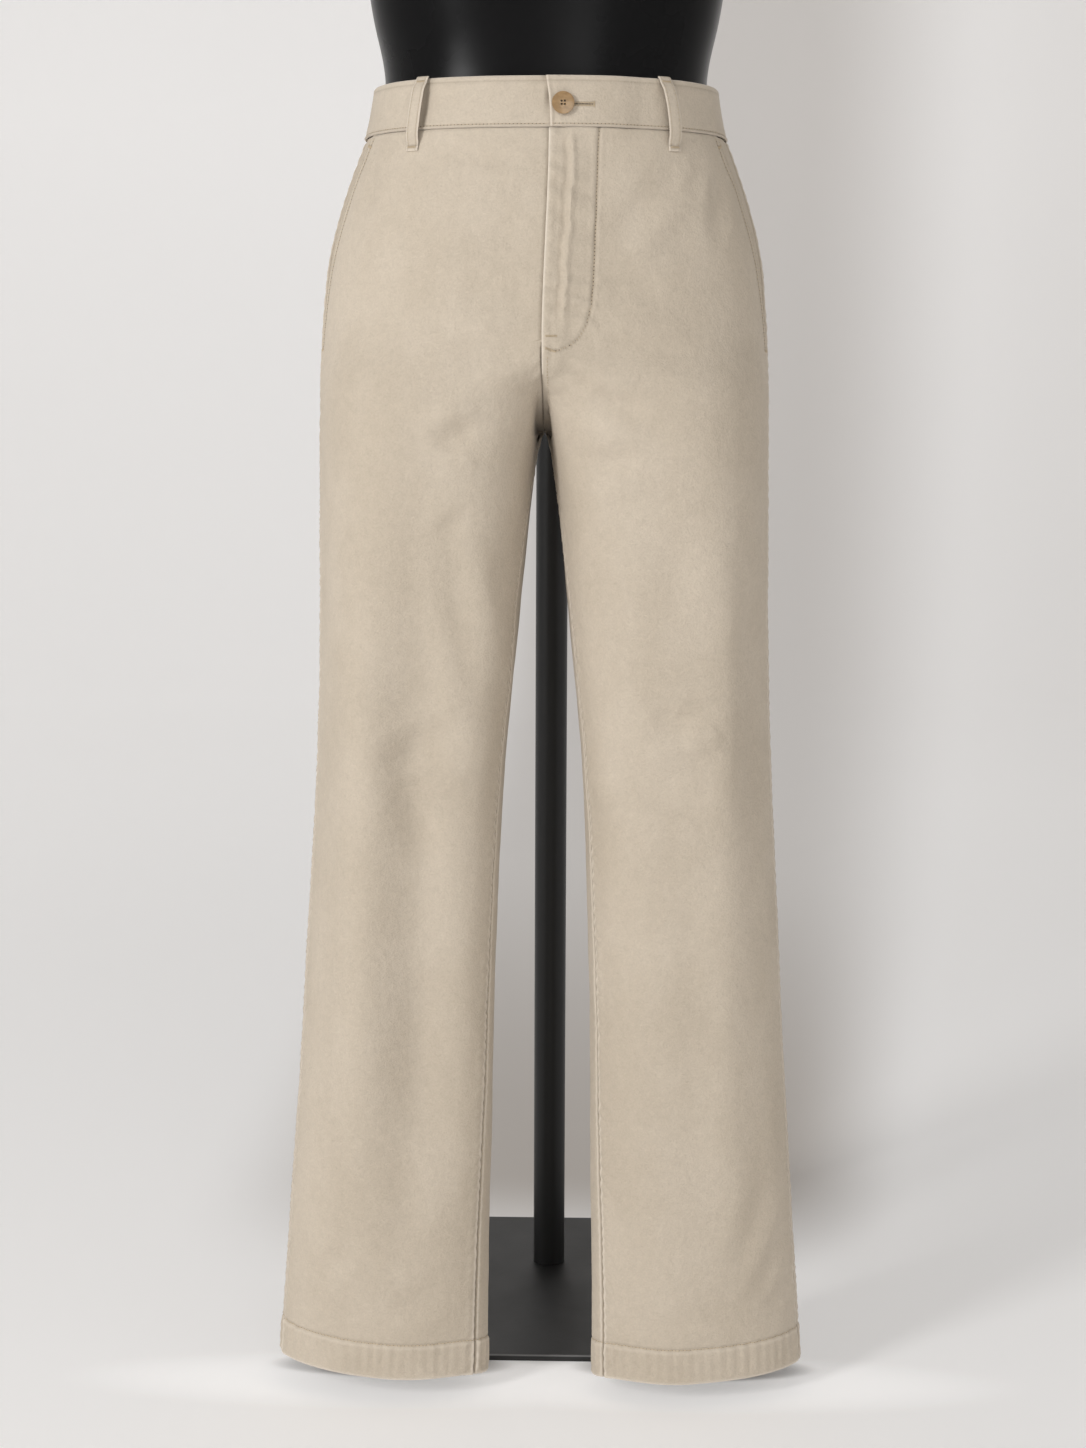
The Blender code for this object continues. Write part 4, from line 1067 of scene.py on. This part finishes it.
# A ring of painted shade in the groove just inside the rim, on the upper face.
radii = np.array([math.hypot(vertex.co.x, vertex.co.y) for vertex in button.data.vertices])
upper = np.array([vertex.co.z > 0.0012 for vertex in button.data.vertices])
groove = button.data.attributes.new("groove_painted_shade", "FLOAT", "POINT")
groove.data.foreach_set("value", (bump_at(radii, 0.0063, 0.0006) * upper).astype(float))
button.data.transform(BUTTON_PLACE)
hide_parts("button")

# %% [markdown]
# ## Thread
# Every row of stitches is thread in the cloth's own tone. Between two stitches the thread dives
# through a needle hole, and the shade in that hole is painted: a small dark disc of painted shade
# sits on the cloth there. One stitch is modelled once, as a slim bead, and copied along each row.
# A row is dropped straight onto the creased cloth, so that it follows every ripple.

# %% One stitch, and rows of them
def take_shape(piece):
    """The points and faces of a made shape, which then leaves the scene."""
    shape = (
        np.array([vertex.co for vertex in piece.data.vertices]),
        [tuple(face.vertices) for face in piece.data.polygons],
    )
    bpy.data.objects.remove(piece, do_unlink=True)
    return shape


bpy.ops.mesh.primitive_uv_sphere_add(segments=6, ring_count=4, radius=0.5)
bead = bpy.context.object
bead.rotation_euler = (0.0, math.radians(90.0), 0.0)
bpy.ops.object.transform_apply(location=True, rotation=True, scale=True)
BEAD = take_shape(bead)
bpy.ops.mesh.primitive_ico_sphere_add(subdivisions=1, radius=0.5)
DOT = take_shape(bpy.context.object)
THREAD_KIND, HOLE_SHADE_KIND = 0, 1
print("one stitch:", len(BEAD[1]), "faces, one needle hole:", len(DOT[1]))


class Sewing:
    """Collects the stitches of one group, to be made one mesh."""

    def __init__(self, name, cloths):
        self.name = name
        self.trees = []
        for cloth in cloths:
            points = [vertex.co for vertex in cloth.data.vertices]
            faces = [tuple(face.vertices) for face in cloth.data.polygons]
            self.trees.append(BVHTree.FromPolygons(points, faces))
        self.points, self.faces, self.kinds = [], [], []

    def drop(self, point, out):
        """The cloth's outer face below a point, and its normal there."""
        best = None
        for tree in self.trees:
            hit = tree.ray_cast(point + out * 0.010, -out, 0.018)
            if hit[0] is not None and (best is None or hit[3] < best[2]):
                best = (hit[0], hit[1] if hit[1] @ out > 0 else -hit[1], hit[3])
        return best

    def add(self, shape, place, lift, along, size, kind):
        """Adds one shape, of a size along, across and up, a little above a place on the cloth."""
        normal = place[1]
        across = normal.cross(along).normalized()
        along = across.cross(normal).normalized()
        turn_to = np.array([along * size[0], across * size[1], normal * size[2]])
        start = sum(len(part) for part in self.points)
        self.points.append(shape[0] @ turn_to + np.array(place[0] + normal * lift))
        self.faces += [tuple(start + corner for corner in face) for face in shape[1]]
        self.kinds += [kind] * len(shape[1])

    def row(self, path, outs, pitch=0.0030, length=0.0021, width=0.00065, hole=1.0):
        """Stitches along a path of points, each with its outward direction."""
        run = np.concatenate(([0.0], np.cumsum(np.linalg.norm(np.diff(path, axis=0), axis=1))))
        count = max(2, int(run[-1] / pitch))
        for step in range(count):
            at = (step + 0.5) * run[-1] / count
            ends = [
                Vector([np.interp(at + offset, run, path[:, axis]) for axis in range(3)])
                for offset in (-0.0005, 0.0, 0.0005, pitch / 2)
            ]
            out = Vector([np.interp(at, run, outs[:, axis]) for axis in range(3)]).normalized()
            place = self.drop(ends[1], out)
            if place is None:
                continue
            along = (ends[2] - ends[0]).normalized()
            self.add(BEAD, place, 0.00008, along, (length, width, 0.00045), THREAD_KIND)
            # A dark disc of painted shade marks the needle hole between stitches.
            gap = self.drop(ends[3], out) if hole and step < count - 1 else None
            if gap is not None:
                size = (0.0013 * hole, 0.0011 * hole, 0.00034)
                self.add(DOT, gap, 0.0, along, size, HOLE_SHADE_KIND)

    def tack(self, centre, along, out, length, width, count):
        """A bar tack: stitches side by side across a short bar."""
        for step in range(count):
            point = centre + along * (length * ((step + 0.5) / count - 0.5))
            place = self.drop(point, out)
            if place is None:
                continue
            across = out.cross(along).normalized()
            size = (width, length / count * 1.05, 0.0006)
            lean = (across + along * (0.18 if step % 2 else -0.18)).normalized()
            self.add(BEAD, place, 0.00014, lean, size, THREAD_KIND)

    def make(self):
        mesh = bpy.data.meshes.new(self.name)
        mesh.from_pydata(np.concatenate(self.points).tolist(), [], self.faces)
        mesh.polygons.foreach_set("material_index", self.kinds)
        piece = bpy.data.objects.new(self.name, mesh)
        bpy.context.scene.collection.objects.link(piece)
        finish_piece(piece, 80.0)
        return piece


def line_on(side, heights, angles):
    """A path on the plain surface, and the outward directions along it."""
    heights, angles = np.broadcast_arrays(np.asarray(heights, float), np.asarray(angles, float))
    path = surface(side, heights, angles)
    return path, (surface(side, heights, angles, 0.01) - path) * 100.0


# %% Rows of the hems, inseams and crotch
hem_sewing = Sewing("stitches_hems", PANELS)
for side in (RIGHT, LEFT):
    ring = np.linspace(-180.0, 180.0, 400)
    hem_sewing.row(
        *line_on(side, HEM_LINE, ring), pitch=0.0031, length=0.0025, width=0.0010,
        hole=0.62,
    )
stitches = [hem_sewing.make()]
seam_sewing = Sewing("stitches_inseams", PANELS)
leg_heights = np.linspace(HEM_HEIGHT + 0.002, CROTCH_HEIGHT - 0.004, 240)
for side, offset in ((RIGHT, 0.0011), (LEFT, -0.0011)):
    beside_seam = angle_past(leg_heights, inseam(leg_heights), offset)
    seam_sewing.row(
        *line_on(side, leg_heights, beside_seam), pitch=0.0032, width=0.0004, hole=0.0
    )
rise_heights = np.linspace(CROTCH_HEIGHT + 0.002, 0.8755, 60)
seam_sewing.row(*line_on(LEFT, rise_heights, angle_at_x(rise_heights, 0.0048)), hole=0.0)
back_heights = np.linspace(CROTCH_HEIGHT + 0.002, WAIST_SEAM - 0.003, 120)
seam_sewing.row(
    *line_on(LEFT, back_heights, angle_at_x(back_heights, 0.0020, BACK)), width=0.0004, hole=0.0
)
stitches.append(seam_sewing.make())

# %% Rows of the pockets
pocket_sewing = Sewing("stitches_pockets", PANELS)
pocket_heights = np.linspace(POCKET_BOTTOM + 0.001, WAIST_SEAM - 0.002, 120)
for side in (RIGHT, LEFT):
    for offset in (0.0016, 0.0066):
        beside = angle_past(pocket_heights, pocket_slant(pocket_heights), offset)
        pocket_sewing.row(*line_on(side, pocket_heights, beside), pitch=0.0030, hole=0.7)
    for height in (WAIST_SEAM - 0.0085, POCKET_BOTTOM + 0.001):
        level = np.array([height, height + 0.004])
        path, outs = line_on(side, level, angle_past(level, pocket_slant(level), 0.0040))
        out = Vector(outs[0]).normalized()
        across = Vector(path[1] - path[0]).normalized().cross(out).normalized()
        pocket_sewing.tack(Vector(path[0]), across, out, 0.0070, 0.0024, 13)
stitches.append(pocket_sewing.make())

# %% Rows of the fly
fly_sewing = Sewing("stitches_fly", (front_left,))
fine = np.linspace(0, len(FLY_CURVE) - 1, 160)
fly_height = np.interp(fine, np.arange(len(FLY_CURVE)), FLY_CURVE[:, 1])
fly_x = np.interp(fine, np.arange(len(FLY_CURVE)), FLY_CURVE[:, 0])
fly_sewing.row(*line_on(LEFT, fly_height, angle_at_x(fly_height, fly_x)), pitch=0.0028, hole=0.85)
for height, x, lean in ((0.8905, 0.0075, 0.0), (0.8800, 0.0072, 0.35)):
    path, outs = line_on(LEFT, np.array([height]), angle_at_x(np.array([height]), np.array([x])))
    along = Vector((math.cos(lean), 0.0, -math.sin(lean)))
    fly_sewing.tack(Vector(path[0]), along, Vector(outs[0]).normalized(), 0.0090, 0.0021, 16)
stitches.append(fly_sewing.make())

# %% Rows of the band and its buttonhole
band_sewing = Sewing("stitches_band", BANDS)
for side in (RIGHT, LEFT):
    height = WAIST_SEAM + 0.0026
    last_x = 0.0068 if side == LEFT else -0.0040
    ends = angle_at_x(np.array([height, height]), np.array([0.002, last_x]), np.array([-1, 1]))
    ring = np.linspace(ends[0], ends[1], 500)
    band_sewing.row(*line_on(side, height, ring), pitch=0.0029, hole=0.8)
slit = np.linspace(0.0215, 0.0390, 60)
slit_height = np.full_like(slit, 1.0652)
slit_path, slit_outs = line_on(LEFT, slit_height, angle_at_x(slit_height, slit))
for offset in (-0.0010, 0.0010):
    shifted = slit_path + np.array((0.0, 0.0, offset))
    run = np.linspace(0, len(shifted) - 1, 34).astype(int)
    for index in run:
        out = Vector(slit_outs[index]).normalized()
        place = band_sewing.drop(Vector(shifted[index]), out)
        if place is not None:
            size = (0.0017, 0.00055, 0.0005)
            band_sewing.add(BEAD, place, 0.00012, Vector((0.12, 0, 1)), size, THREAD_KIND)
end_out = Vector(slit_outs[-1]).normalized()
band_sewing.tack(Vector(slit_path[-1]), Vector((0, 0, 1)), end_out, 0.0046, 0.0014, 8)
# Dark discs of painted shade along the buttonhole's slit.
for index in np.linspace(2, len(slit_path) - 6, 15).astype(int):
    place = band_sewing.drop(Vector(slit_path[index]), Vector(slit_outs[index]).normalized())
    if place is not None:
        size = (0.0013, 0.0008, 0.0006)
        band_sewing.add(DOT, place, 0.00008, Vector((1, 0, 0)), size, HOLE_SHADE_KIND)
stitches.append(band_sewing.make())

# %% Rows of the belt loops
loop_sewing = Sewing("stitches_loops", LOOPS)
heights = np.linspace(LOOP_LOW + 0.0015, BAND_TOP - 0.0006, 60)
for _, side, foot_x, head_x, face, bow in LOOP_TABLE:
    centre = loop_middle(heights, foot_x, head_x, face, bow)[1]
    for offset in (-LOOP_WIDTH / 2 + 0.0018, LOOP_WIDTH / 2 - 0.0018):
        loop_sewing.row(
            *line_on(side, heights, angle_past(heights, centre, offset)), pitch=0.0026,
            length=0.0019, width=0.0004, hole=0.0,
        )
    for height in (1.0350, 1.0845):
        level = np.array([height])
        middle = np.interp(height, heights, centre)
        path, outs = line_on(side, level, np.array([middle]))
        out = Vector(outs[0]).normalized()
        loop_sewing.tack(Vector(path[0]), Vector((0, 0, 1)).cross(out), out, 0.0074, 0.0019, 14)
stitches.append(loop_sewing.make())
print("stitch groups:", [piece.name for piece in stitches])

# %% [markdown]
# ## Finishes
# Cotton twill is matt. Seen close it shows steep diagonal ribs under a millimetre apart, and from
# further off a fine grain and the cloudy paleness of washing. Folded edges and seam banks are
# painted paler, partly for rubbing and partly as a painted highlight, and seams, laps, the crotch
# and the sides of the loops get painted shade.
# The ribs follow the cloth through its UV map, and the clouds and grain sit in the piece's own
# space, so nothing slides when the part is turned.

# %% A finish and its nodes
class Finish:
    """A material. What goes into it is a value, a colour, or another node's output."""

    def __init__(self, name, roughness):
        self.material = bpy.data.materials.new(name)
        self.material.use_nodes = True
        self.tree = self.material.node_tree
        self.put("Roughness", roughness)

    def join(self, value, socket):
        if isinstance(value, bpy.types.NodeSocket):
            self.tree.links.new(value, socket)
        else:
            socket.default_value = (*value, 1.0) if socket.type == "RGBA" else value

    def put(self, name, value):
        """Fills one input of the material's shader."""
        self.join(value, self.tree.nodes["Principled BSDF"].inputs[name])

    def node(self, kind, result, inputs=(), **settings):
        """A node with its settings and inputs, and the one output of it that is used."""
        node = self.tree.nodes.new("ShaderNode" + kind)
        for name, value in settings.items():
            setattr(node, name, value)
        for name, value in dict(inputs).items():
            self.join(value, node.inputs[name])
        return node.outputs[result]

    def math(self, operation, *values):
        return self.node("Math", 0, enumerate(values), operation=operation)

    def product(self, first, *others):
        for other in others:
            first = self.math("MULTIPLY", first, other)
        return first

    def less(self, value):
        """What a share leaves of 1."""
        return self.math("SUBTRACT", 1.0, value)

    def place(self):
        """The point in the piece's own space."""
        return self.node("TexCoord", "Object")

    def axis(self, name):
        return self.node("SeparateXYZ", name, {0: self.place()})

    def noise(self, size, detail=3.0, roughness=0.55, stretch=(1.0, 1.0, 1.0)):
        """A noise pattern of a size in metres, in the piece's own space."""
        place = self.node("Mapping", "Vector", {"Vector": self.place(), "Scale": stretch})
        return self.node("TexNoise", "Fac", {
            "Vector": place, "Scale": 1.0 / size, "Detail": detail, "Roughness": roughness,
        })

    def mix(self, share, first, second, **settings):
        inputs = {"Factor": share, "A": first, "B": second}
        return self.node("Mix", "Result", inputs, data_type="RGBA", **settings)

    def ramp(self, value, low, high):
        """0 where a value is low, 1 where it is high, smoothly between."""
        inputs = {"Value": value, "From Min": low, "From Max": high}
        return self.node("MapRange", "Result", inputs, interpolation_type="SMOOTHSTEP")

    def bump(self, height, distance, strength, under=None):
        inputs = {"Height": height, "Distance": distance, "Strength": strength}
        if under is not None:
            inputs["Normal"] = under
        return self.node("Bump", "Normal", inputs)

    def attribute(self, name):
        return self.node("Attribute", "Fac", attribute_name=name)


# %% Twill
TWILL_PITCH, TWILL_SLOPE = 0.00085, math.radians(28.0)
PAINTED_SHADE_COLOUR = (0.105, 0.078, 0.052)


def make_twill(name, pale, deep, worn_and_lit):
    cloth = Finish(name, 0.92)
    turns = 2 * math.pi / TWILL_PITCH
    across = cloth.node("VectorMath", "Value", {
        0: cloth.node("UVMap", "UV", uv_map="weave"),
        1: (turns * math.cos(TWILL_SLOPE), turns * math.sin(TWILL_SLOPE), 0.0),
    }, operation="DOT_PRODUCT")
    rib = cloth.math("SINE", cloth.math("MULTIPLY_ADD", cloth.noise(0.004, 2.0), 3.0, across))
    clouds = cloth.noise(0.075, 4.0, 0.6, (1.0, 1.0, 0.6))
    mottle = cloth.noise(0.0065, 3.0, 0.6)
    grain = cloth.noise(0.0016, 2.0, 0.65)
    speck = cloth.math("MULTIPLY_ADD", mottle, 0.16, 0.79)
    speck = cloth.math("MULTIPLY_ADD", grain, 0.26, speck)
    speck = cloth.math("MULTIPLY_ADD", rib, 0.018, speck)
    tint = cloth.node("CombineColor", "Color", {0: speck, 1: speck, 2: speck})
    colour = cloth.mix(cloth.ramp(clouds, 0.34, 0.68), deep, pale)
    colour = cloth.mix(1.0, colour, tint, blend_type="MULTIPLY")
    # Paler at folds and seam banks: partly wear, partly a painted highlight.
    colour = cloth.mix(cloth.product(cloth.attribute("edge_wear_and_highlight"), 0.60), colour, worn_and_lit)
    # Darker along seams, stitch rows, laps, loop sides and the crotch: painted shade.
    shade_share = cloth.product(cloth.attribute("seam_shade"), 0.72)
    cloth.put("Base Color", cloth.mix(shade_share, colour, PAINTED_SHADE_COLOUR))
    relief = cloth.bump(rib, 0.00006, 0.55)
    relief = cloth.bump(grain, 0.00045, 0.7, relief)
    cloth.put("Normal", cloth.bump(mottle, 0.00110, 0.7, relief))
    cloth.put("Sheen Weight", 0.10)
    cloth.put("Sheen Roughness", 0.5)
    cloth.put("Specular IOR Level", 0.25)
    return cloth.material


TWILL = make_twill("chino_twill", (0.520, 0.452, 0.366), (0.478, 0.412, 0.328), (0.70, 0.63, 0.54))
# The facing gets a darker copy of the twill: painted shade for its strip behind the pocket's
# opening.
SHADED_FACING_TWILL = make_twill(
    "shaded_facing_twill", (0.505, 0.435, 0.342), (0.470, 0.400, 0.312), (0.64, 0.57, 0.47)
)


# %% Thread, form, stand and button
def two_tone(name, roughness, pattern, low, high):
    """A finish that wanders between two colours, and the noise pattern that it follows."""
    finish = Finish(name, roughness)
    share = finish.noise(*pattern)
    finish.put("Base Color", finish.mix(share, low, high))
    return finish, share


thread, _ = two_tone(
    "sewing_thread", 0.80, (0.0006, 2.0), (0.400, 0.318, 0.215), (0.520, 0.425, 0.300)
)
# The needle holes get a dark finish: painted shade.
needle_hole_shade, _ = two_tone(
    "needle_hole_shade", 0.95, (0.0008,), (0.060, 0.045, 0.030), (0.10, 0.078, 0.055)
)
moulding, smudge = two_tone(
    "gloss_black_moulding", 0.24, (0.09, 4.0), (0.0035, 0.0035, 0.0037), (0.0050, 0.0050, 0.0053)
)
moulding.put("Roughness", moulding.math("MULTIPLY_ADD", smudge, 0.16, 0.20))
moulding.put("Specular IOR Level", 0.08)
moulding.put("Normal", moulding.bump(moulding.noise(0.05, 2.0), 0.0006, 0.25))
coat, coat_grain = two_tone(
    "satin_black_coat", 0.42, (0.0022,), (0.0060, 0.0060, 0.0060), (0.0090, 0.0090, 0.0088)
)
coat.put("Specular IOR Level", 0.30)
coat.put("Normal", coat.bump(coat_grain, 0.00012, 0.5))

# The plate's upper edges are painted pale grey: a painted highlight along its rim.
PLATE_RIM, PLATE_TOP, PLATE_EDGE_HIGHLIGHT = (0.1808, 0.1818), (0.0042, 0.0054), (0.16, 0.16, 0.16)
plate = Finish("plate_grey_coat", 0.50)
scuffs = plate.noise(0.11, 5.0, 0.65)
rim = plate.math(
    "MAXIMUM", plate.math("ABSOLUTE", plate.axis("X")), plate.math("ABSOLUTE", plate.axis("Y"))
)
# Painted highlight: a pale rim along the plate's upper edges.
edge_highlight = plate.product(plate.ramp(rim, *PLATE_RIM), plate.ramp(plate.axis("Z"), *PLATE_TOP))
painted = plate.mix(scuffs, (0.0060, 0.0059, 0.0059), (0.0100, 0.0098, 0.0096))
plate.put("Base Color", plate.mix(edge_highlight, painted, PLATE_EDGE_HIGHLIGHT))
plate.put("Roughness", plate.math("MULTIPLY_ADD", scuffs, 0.22, 0.40))
plate.put("Normal", plate.bump(plate.noise(0.0016), 0.00015, 0.5))

horn = Finish("button_tan", 0.34)
streaks = horn.ramp(horn.noise(0.0045, 3.0, 0.5, (1.0, 1.0, 1.6)), 0.35, 0.7)
tan = horn.mix(streaks, (0.235, 0.138, 0.052), (0.310, 0.190, 0.080))
# The groove inside the rim is darkened: painted shade.
turned = horn.product(horn.attribute("groove_painted_shade"), 0.75)
horn.put("Base Color", horn.mix(turned, tan, (0.080, 0.045, 0.018)))
horn.put("Coat Weight", 0.3)
THREAD, NEEDLE_HOLE_SHADE, GLOSS_BLACK, SATIN_BLACK, PLATE_GREY, BUTTON_TAN = (
    finish.material for finish in (thread, needle_hole_shade, moulding, coat, plate, horn)
)
print("finishes:", [material.name for material in bpy.data.materials][-8:])


# %% Give each piece its finish
def dress(piece, *materials):
    kinds = [face.material_index for face in piece.data.polygons]
    piece.data.materials.clear()
    for material in materials:
        piece.data.materials.append(material)
    piece.data.polygons.foreach_set("material_index", kinds)


for piece in PANELS + BANDS + LOOPS:
    dress(piece, TWILL)
for piece in (facing_right, facing_left):
    dress(piece, SHADED_FACING_TWILL)
for piece in stitches:
    dress(piece, THREAD, NEEDLE_HOLE_SHADE)
dress(form, GLOSS_BLACK)
dress(upright, SATIN_BLACK)
dress(button, BUTTON_TAN)
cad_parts["base_plate"].material_slots[0].material = PLATE_GREY
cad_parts["form_socket"].material_slots[0].material = SATIN_BLACK

# %% [markdown]
# ## Bodies and cloth
# Nothing on a worn pair moves, so every piece rides on the one body. A table lists the size each
# cloth piece was cut to, the part of it that shows, laid flat, and prints it beside the mesh's
# area.
# Its length and its area are those of its mesh, less a little for the rims. The widths are rough:
# by the section tables the widest row of a front is 0.301 m, of a back 0.389 m, of the right band
# 0.462 m and of the left one 0.412 m.

# %% Hang each piece on the body, and list its cut
for piece in PANELS + BANDS + LOOPS + (facing_right, facing_left, form, upright, button):
    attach(piece, "root")
for piece in stitches:
    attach(piece, "root")


def cloth_area(piece):
    return sum(face.area for face in piece.data.polygons) / 2


SHOWN_CUTS = (
    (front_right, (0.245, 1.032), 0.213, band_right),
    (front_left, (0.240, 1.032), 0.211, band_left),
    (back_right, (0.352, 1.034), 0.316, band_right),
    (back_left, (0.352, 1.034), 0.316, band_left),
    (facing_right, (0.050, 0.168), 0.0053, back_right),
    (facing_left, (0.050, 0.168), 0.0053, back_left),
    (band_right, (0.490, 0.039), None, form),
    (band_left, (0.437, 0.039), None, form),
)
for piece, flat, area, held_by in SHOWN_CUTS:
    print(piece.name, "cut", flat, "mesh area", round(cloth_area(piece), 4))

# %% [markdown]
# ## Floor and light
# The garment stands in a plain pale cove: a round floor that bends up into a wall on every side,
# wide enough to walk round. One large softbox from the front left gives the legs their form, a
# weaker one lifts the right side, and the cove's paleness and its painted glow fill the rest.

# %% Cove
COVE_RADIUS, COVE_HEIGHT, COVE_BEND = 6.5, 6.0, 1.8
bpy.ops.mesh.primitive_cylinder_add(
    vertices=160, radius=COVE_RADIUS, depth=COVE_HEIGHT, location=(0.0, 0.0, COVE_HEIGHT / 2)
)
cove = bpy.context.object
cove.name = "cove"
bpy.ops.object.mode_set(mode="EDIT")
edit = bmesh.from_edit_mesh(cove.data)
for face in edit.faces:
    face.select = face.normal.z > 0.9
bmesh.update_edit_mesh(cove.data)
bpy.ops.mesh.delete(type="FACE")
edit = bmesh.from_edit_mesh(cove.data)
for edge in edit.edges:
    edge.select = all(vertex.co.z < 0.1 - COVE_HEIGHT / 2 for vertex in edge.verts)
bmesh.update_edit_mesh(cove.data)
bpy.ops.mesh.bevel(offset=COVE_BEND, offset_type="OFFSET", segments=16, affect="EDGES")
bpy.ops.mesh.select_all(action="SELECT")
bpy.ops.mesh.flip_normals()
bpy.ops.object.mode_set(mode="OBJECT")
bpy.ops.object.transform_apply(location=True, rotation=True, scale=True)
finish_piece(cove, 60.0)

# %% [markdown]
# The cove's paint and glow hold painted shadow: they are darker in a soft band behind the stand
# and towards the right, standing in for the garment's cast shadow, and the glow is cut in a strip
# where each hem comes close to the floor, a painted contact shadow. The glow itself is painted
# light, a little stronger round the hems and far off, and it keeps the rest of the cove even.

# %% Cove paint
paint = Finish("cove_paint", 0.75)
x_place, y_place = paint.axis("X"), paint.axis("Y")
# A soft band of painted shadow behind the stand, leaning to the right: it stands in for the
# garment's cast shadow.
leaning = paint.math("MULTIPLY_ADD", y_place, -0.080, x_place)
soft_width = paint.math("MULTIPLY_ADD", y_place, 0.085, 0.13)
right_end = paint.math("DIVIDE", paint.math("SUBTRACT", leaning, 0.21), soft_width)
left_end = paint.math("DIVIDE", paint.math("SUBTRACT", -0.10, x_place), 0.30)
shadow_band = paint.product(
    paint.less(paint.ramp(right_end, 0.0, 1.0)), paint.less(paint.ramp(left_end, 0.0, 1.0)),
    paint.ramp(y_place, 0.0, 0.35),
)
# More painted shadow close behind the stand, and painted shade that grows towards the far right.
shadow_near_stand = paint.product(paint.ramp(y_place, 2.2, 0.2), 0.22)
shade_far_right = paint.product(
    paint.ramp(leaning, 0.1, 1.4), 0.13, paint.ramp(y_place, 0.0, 2.0)
)
painted_shadow = paint.math(
    "ADD", paint.product(shadow_band, paint.math("ADD", shadow_near_stand, 0.36)), shade_far_right
)
bare = paint.mix(paint.noise(0.9, 2.0), (0.70, 0.690, 0.684), (0.72, 0.710, 0.704))
# The painted shadow darkens the paint towards a warm brown.
paint.put("Base Color", paint.mix(painted_shadow, bare, (0.13, 0.065, 0.0)))

LEG_X, LEG_HALF_X, LEG_HALF_Y, SHADE_BACK, SHADE_HALF_Y = 0.1325, 0.088, 0.020, 0.034, 0.024


def squared(value, size):
    share = paint.math("DIVIDE", value, size)
    return paint.product(share, share)


# A strip of painted contact shadow just behind each hem, where the glow is cut.
leg_x = paint.math("SUBTRACT", paint.math("ABSOLUTE", x_place), LEG_X)
leg_y = paint.math("SUBTRACT", y_place, GARMENT_Y)
foot_x = squared(leg_x, LEG_HALF_X)
around = paint.math("ADD", foot_x, squared(leg_y, LEG_HALF_Y))
behind = squared(paint.math("SUBTRACT", leg_y, SHADE_BACK), SHADE_HALF_Y)
clear_of_hem_shadow = paint.ramp(paint.math("ADD", foot_x, behind), 0.8, 1.7)
from_garment = paint.node(
    "VectorMath", "Vector", {0: paint.place(), 1: (0.0, GARMENT_Y, 0.0)}, operation="SUBTRACT"
)
reach = paint.node("VectorMath", "Value", {0: from_garment}, operation="LENGTH")
# The cove glows, a painted light: a little stronger round the hems and far off, cut by the painted
# shadows.
glow = paint.math("MULTIPLY_ADD", paint.ramp(around, 1.0, 12.0), -0.10, 0.36)
glow = paint.math("MULTIPLY_ADD", paint.ramp(reach, 0.7, 3.5), 0.06, glow)
paint.put("Emission Color", (1.0, 0.990, 0.982))
paint.put("Emission Strength", paint.product(
    glow, paint.math("MULTIPLY_ADD", clear_of_hem_shadow, 0.9, 0.1), paint.less(painted_shadow)
))
dress(cove, paint.material)


# %% Lights
def softbox(name, place, target, size, power):
    data = bpy.data.lights.new(name, "AREA")
    data.shape = "RECTANGLE"
    data.size, data.size_y = size
    data.energy = power
    light = bpy.data.objects.new(name, data)
    bpy.context.scene.collection.objects.link(light)
    light.location = place
    light.rotation_euler = (Vector(target) - Vector(place)).to_track_quat("-Z", "Y").to_euler()
    light.visible_camera = False


KNEES = (0.0, GARMENT_Y, 0.55)
softbox("key_softbox", (-2.6, -3.1, 2.0), KNEES, (0.8, 1.3), 82.0)
softbox("fill_softbox", (0.9, -4.5, 1.5), KNEES, (1.2, 1.8), 22.0)
world = bpy.data.worlds.new("studio_air")
bpy.context.scene.world = world
world.use_nodes = True
air = world.node_tree.nodes["Background"].inputs
air["Color"].default_value = (1.0, 0.972, 0.935, 1.0)
air["Strength"].default_value = 0.24
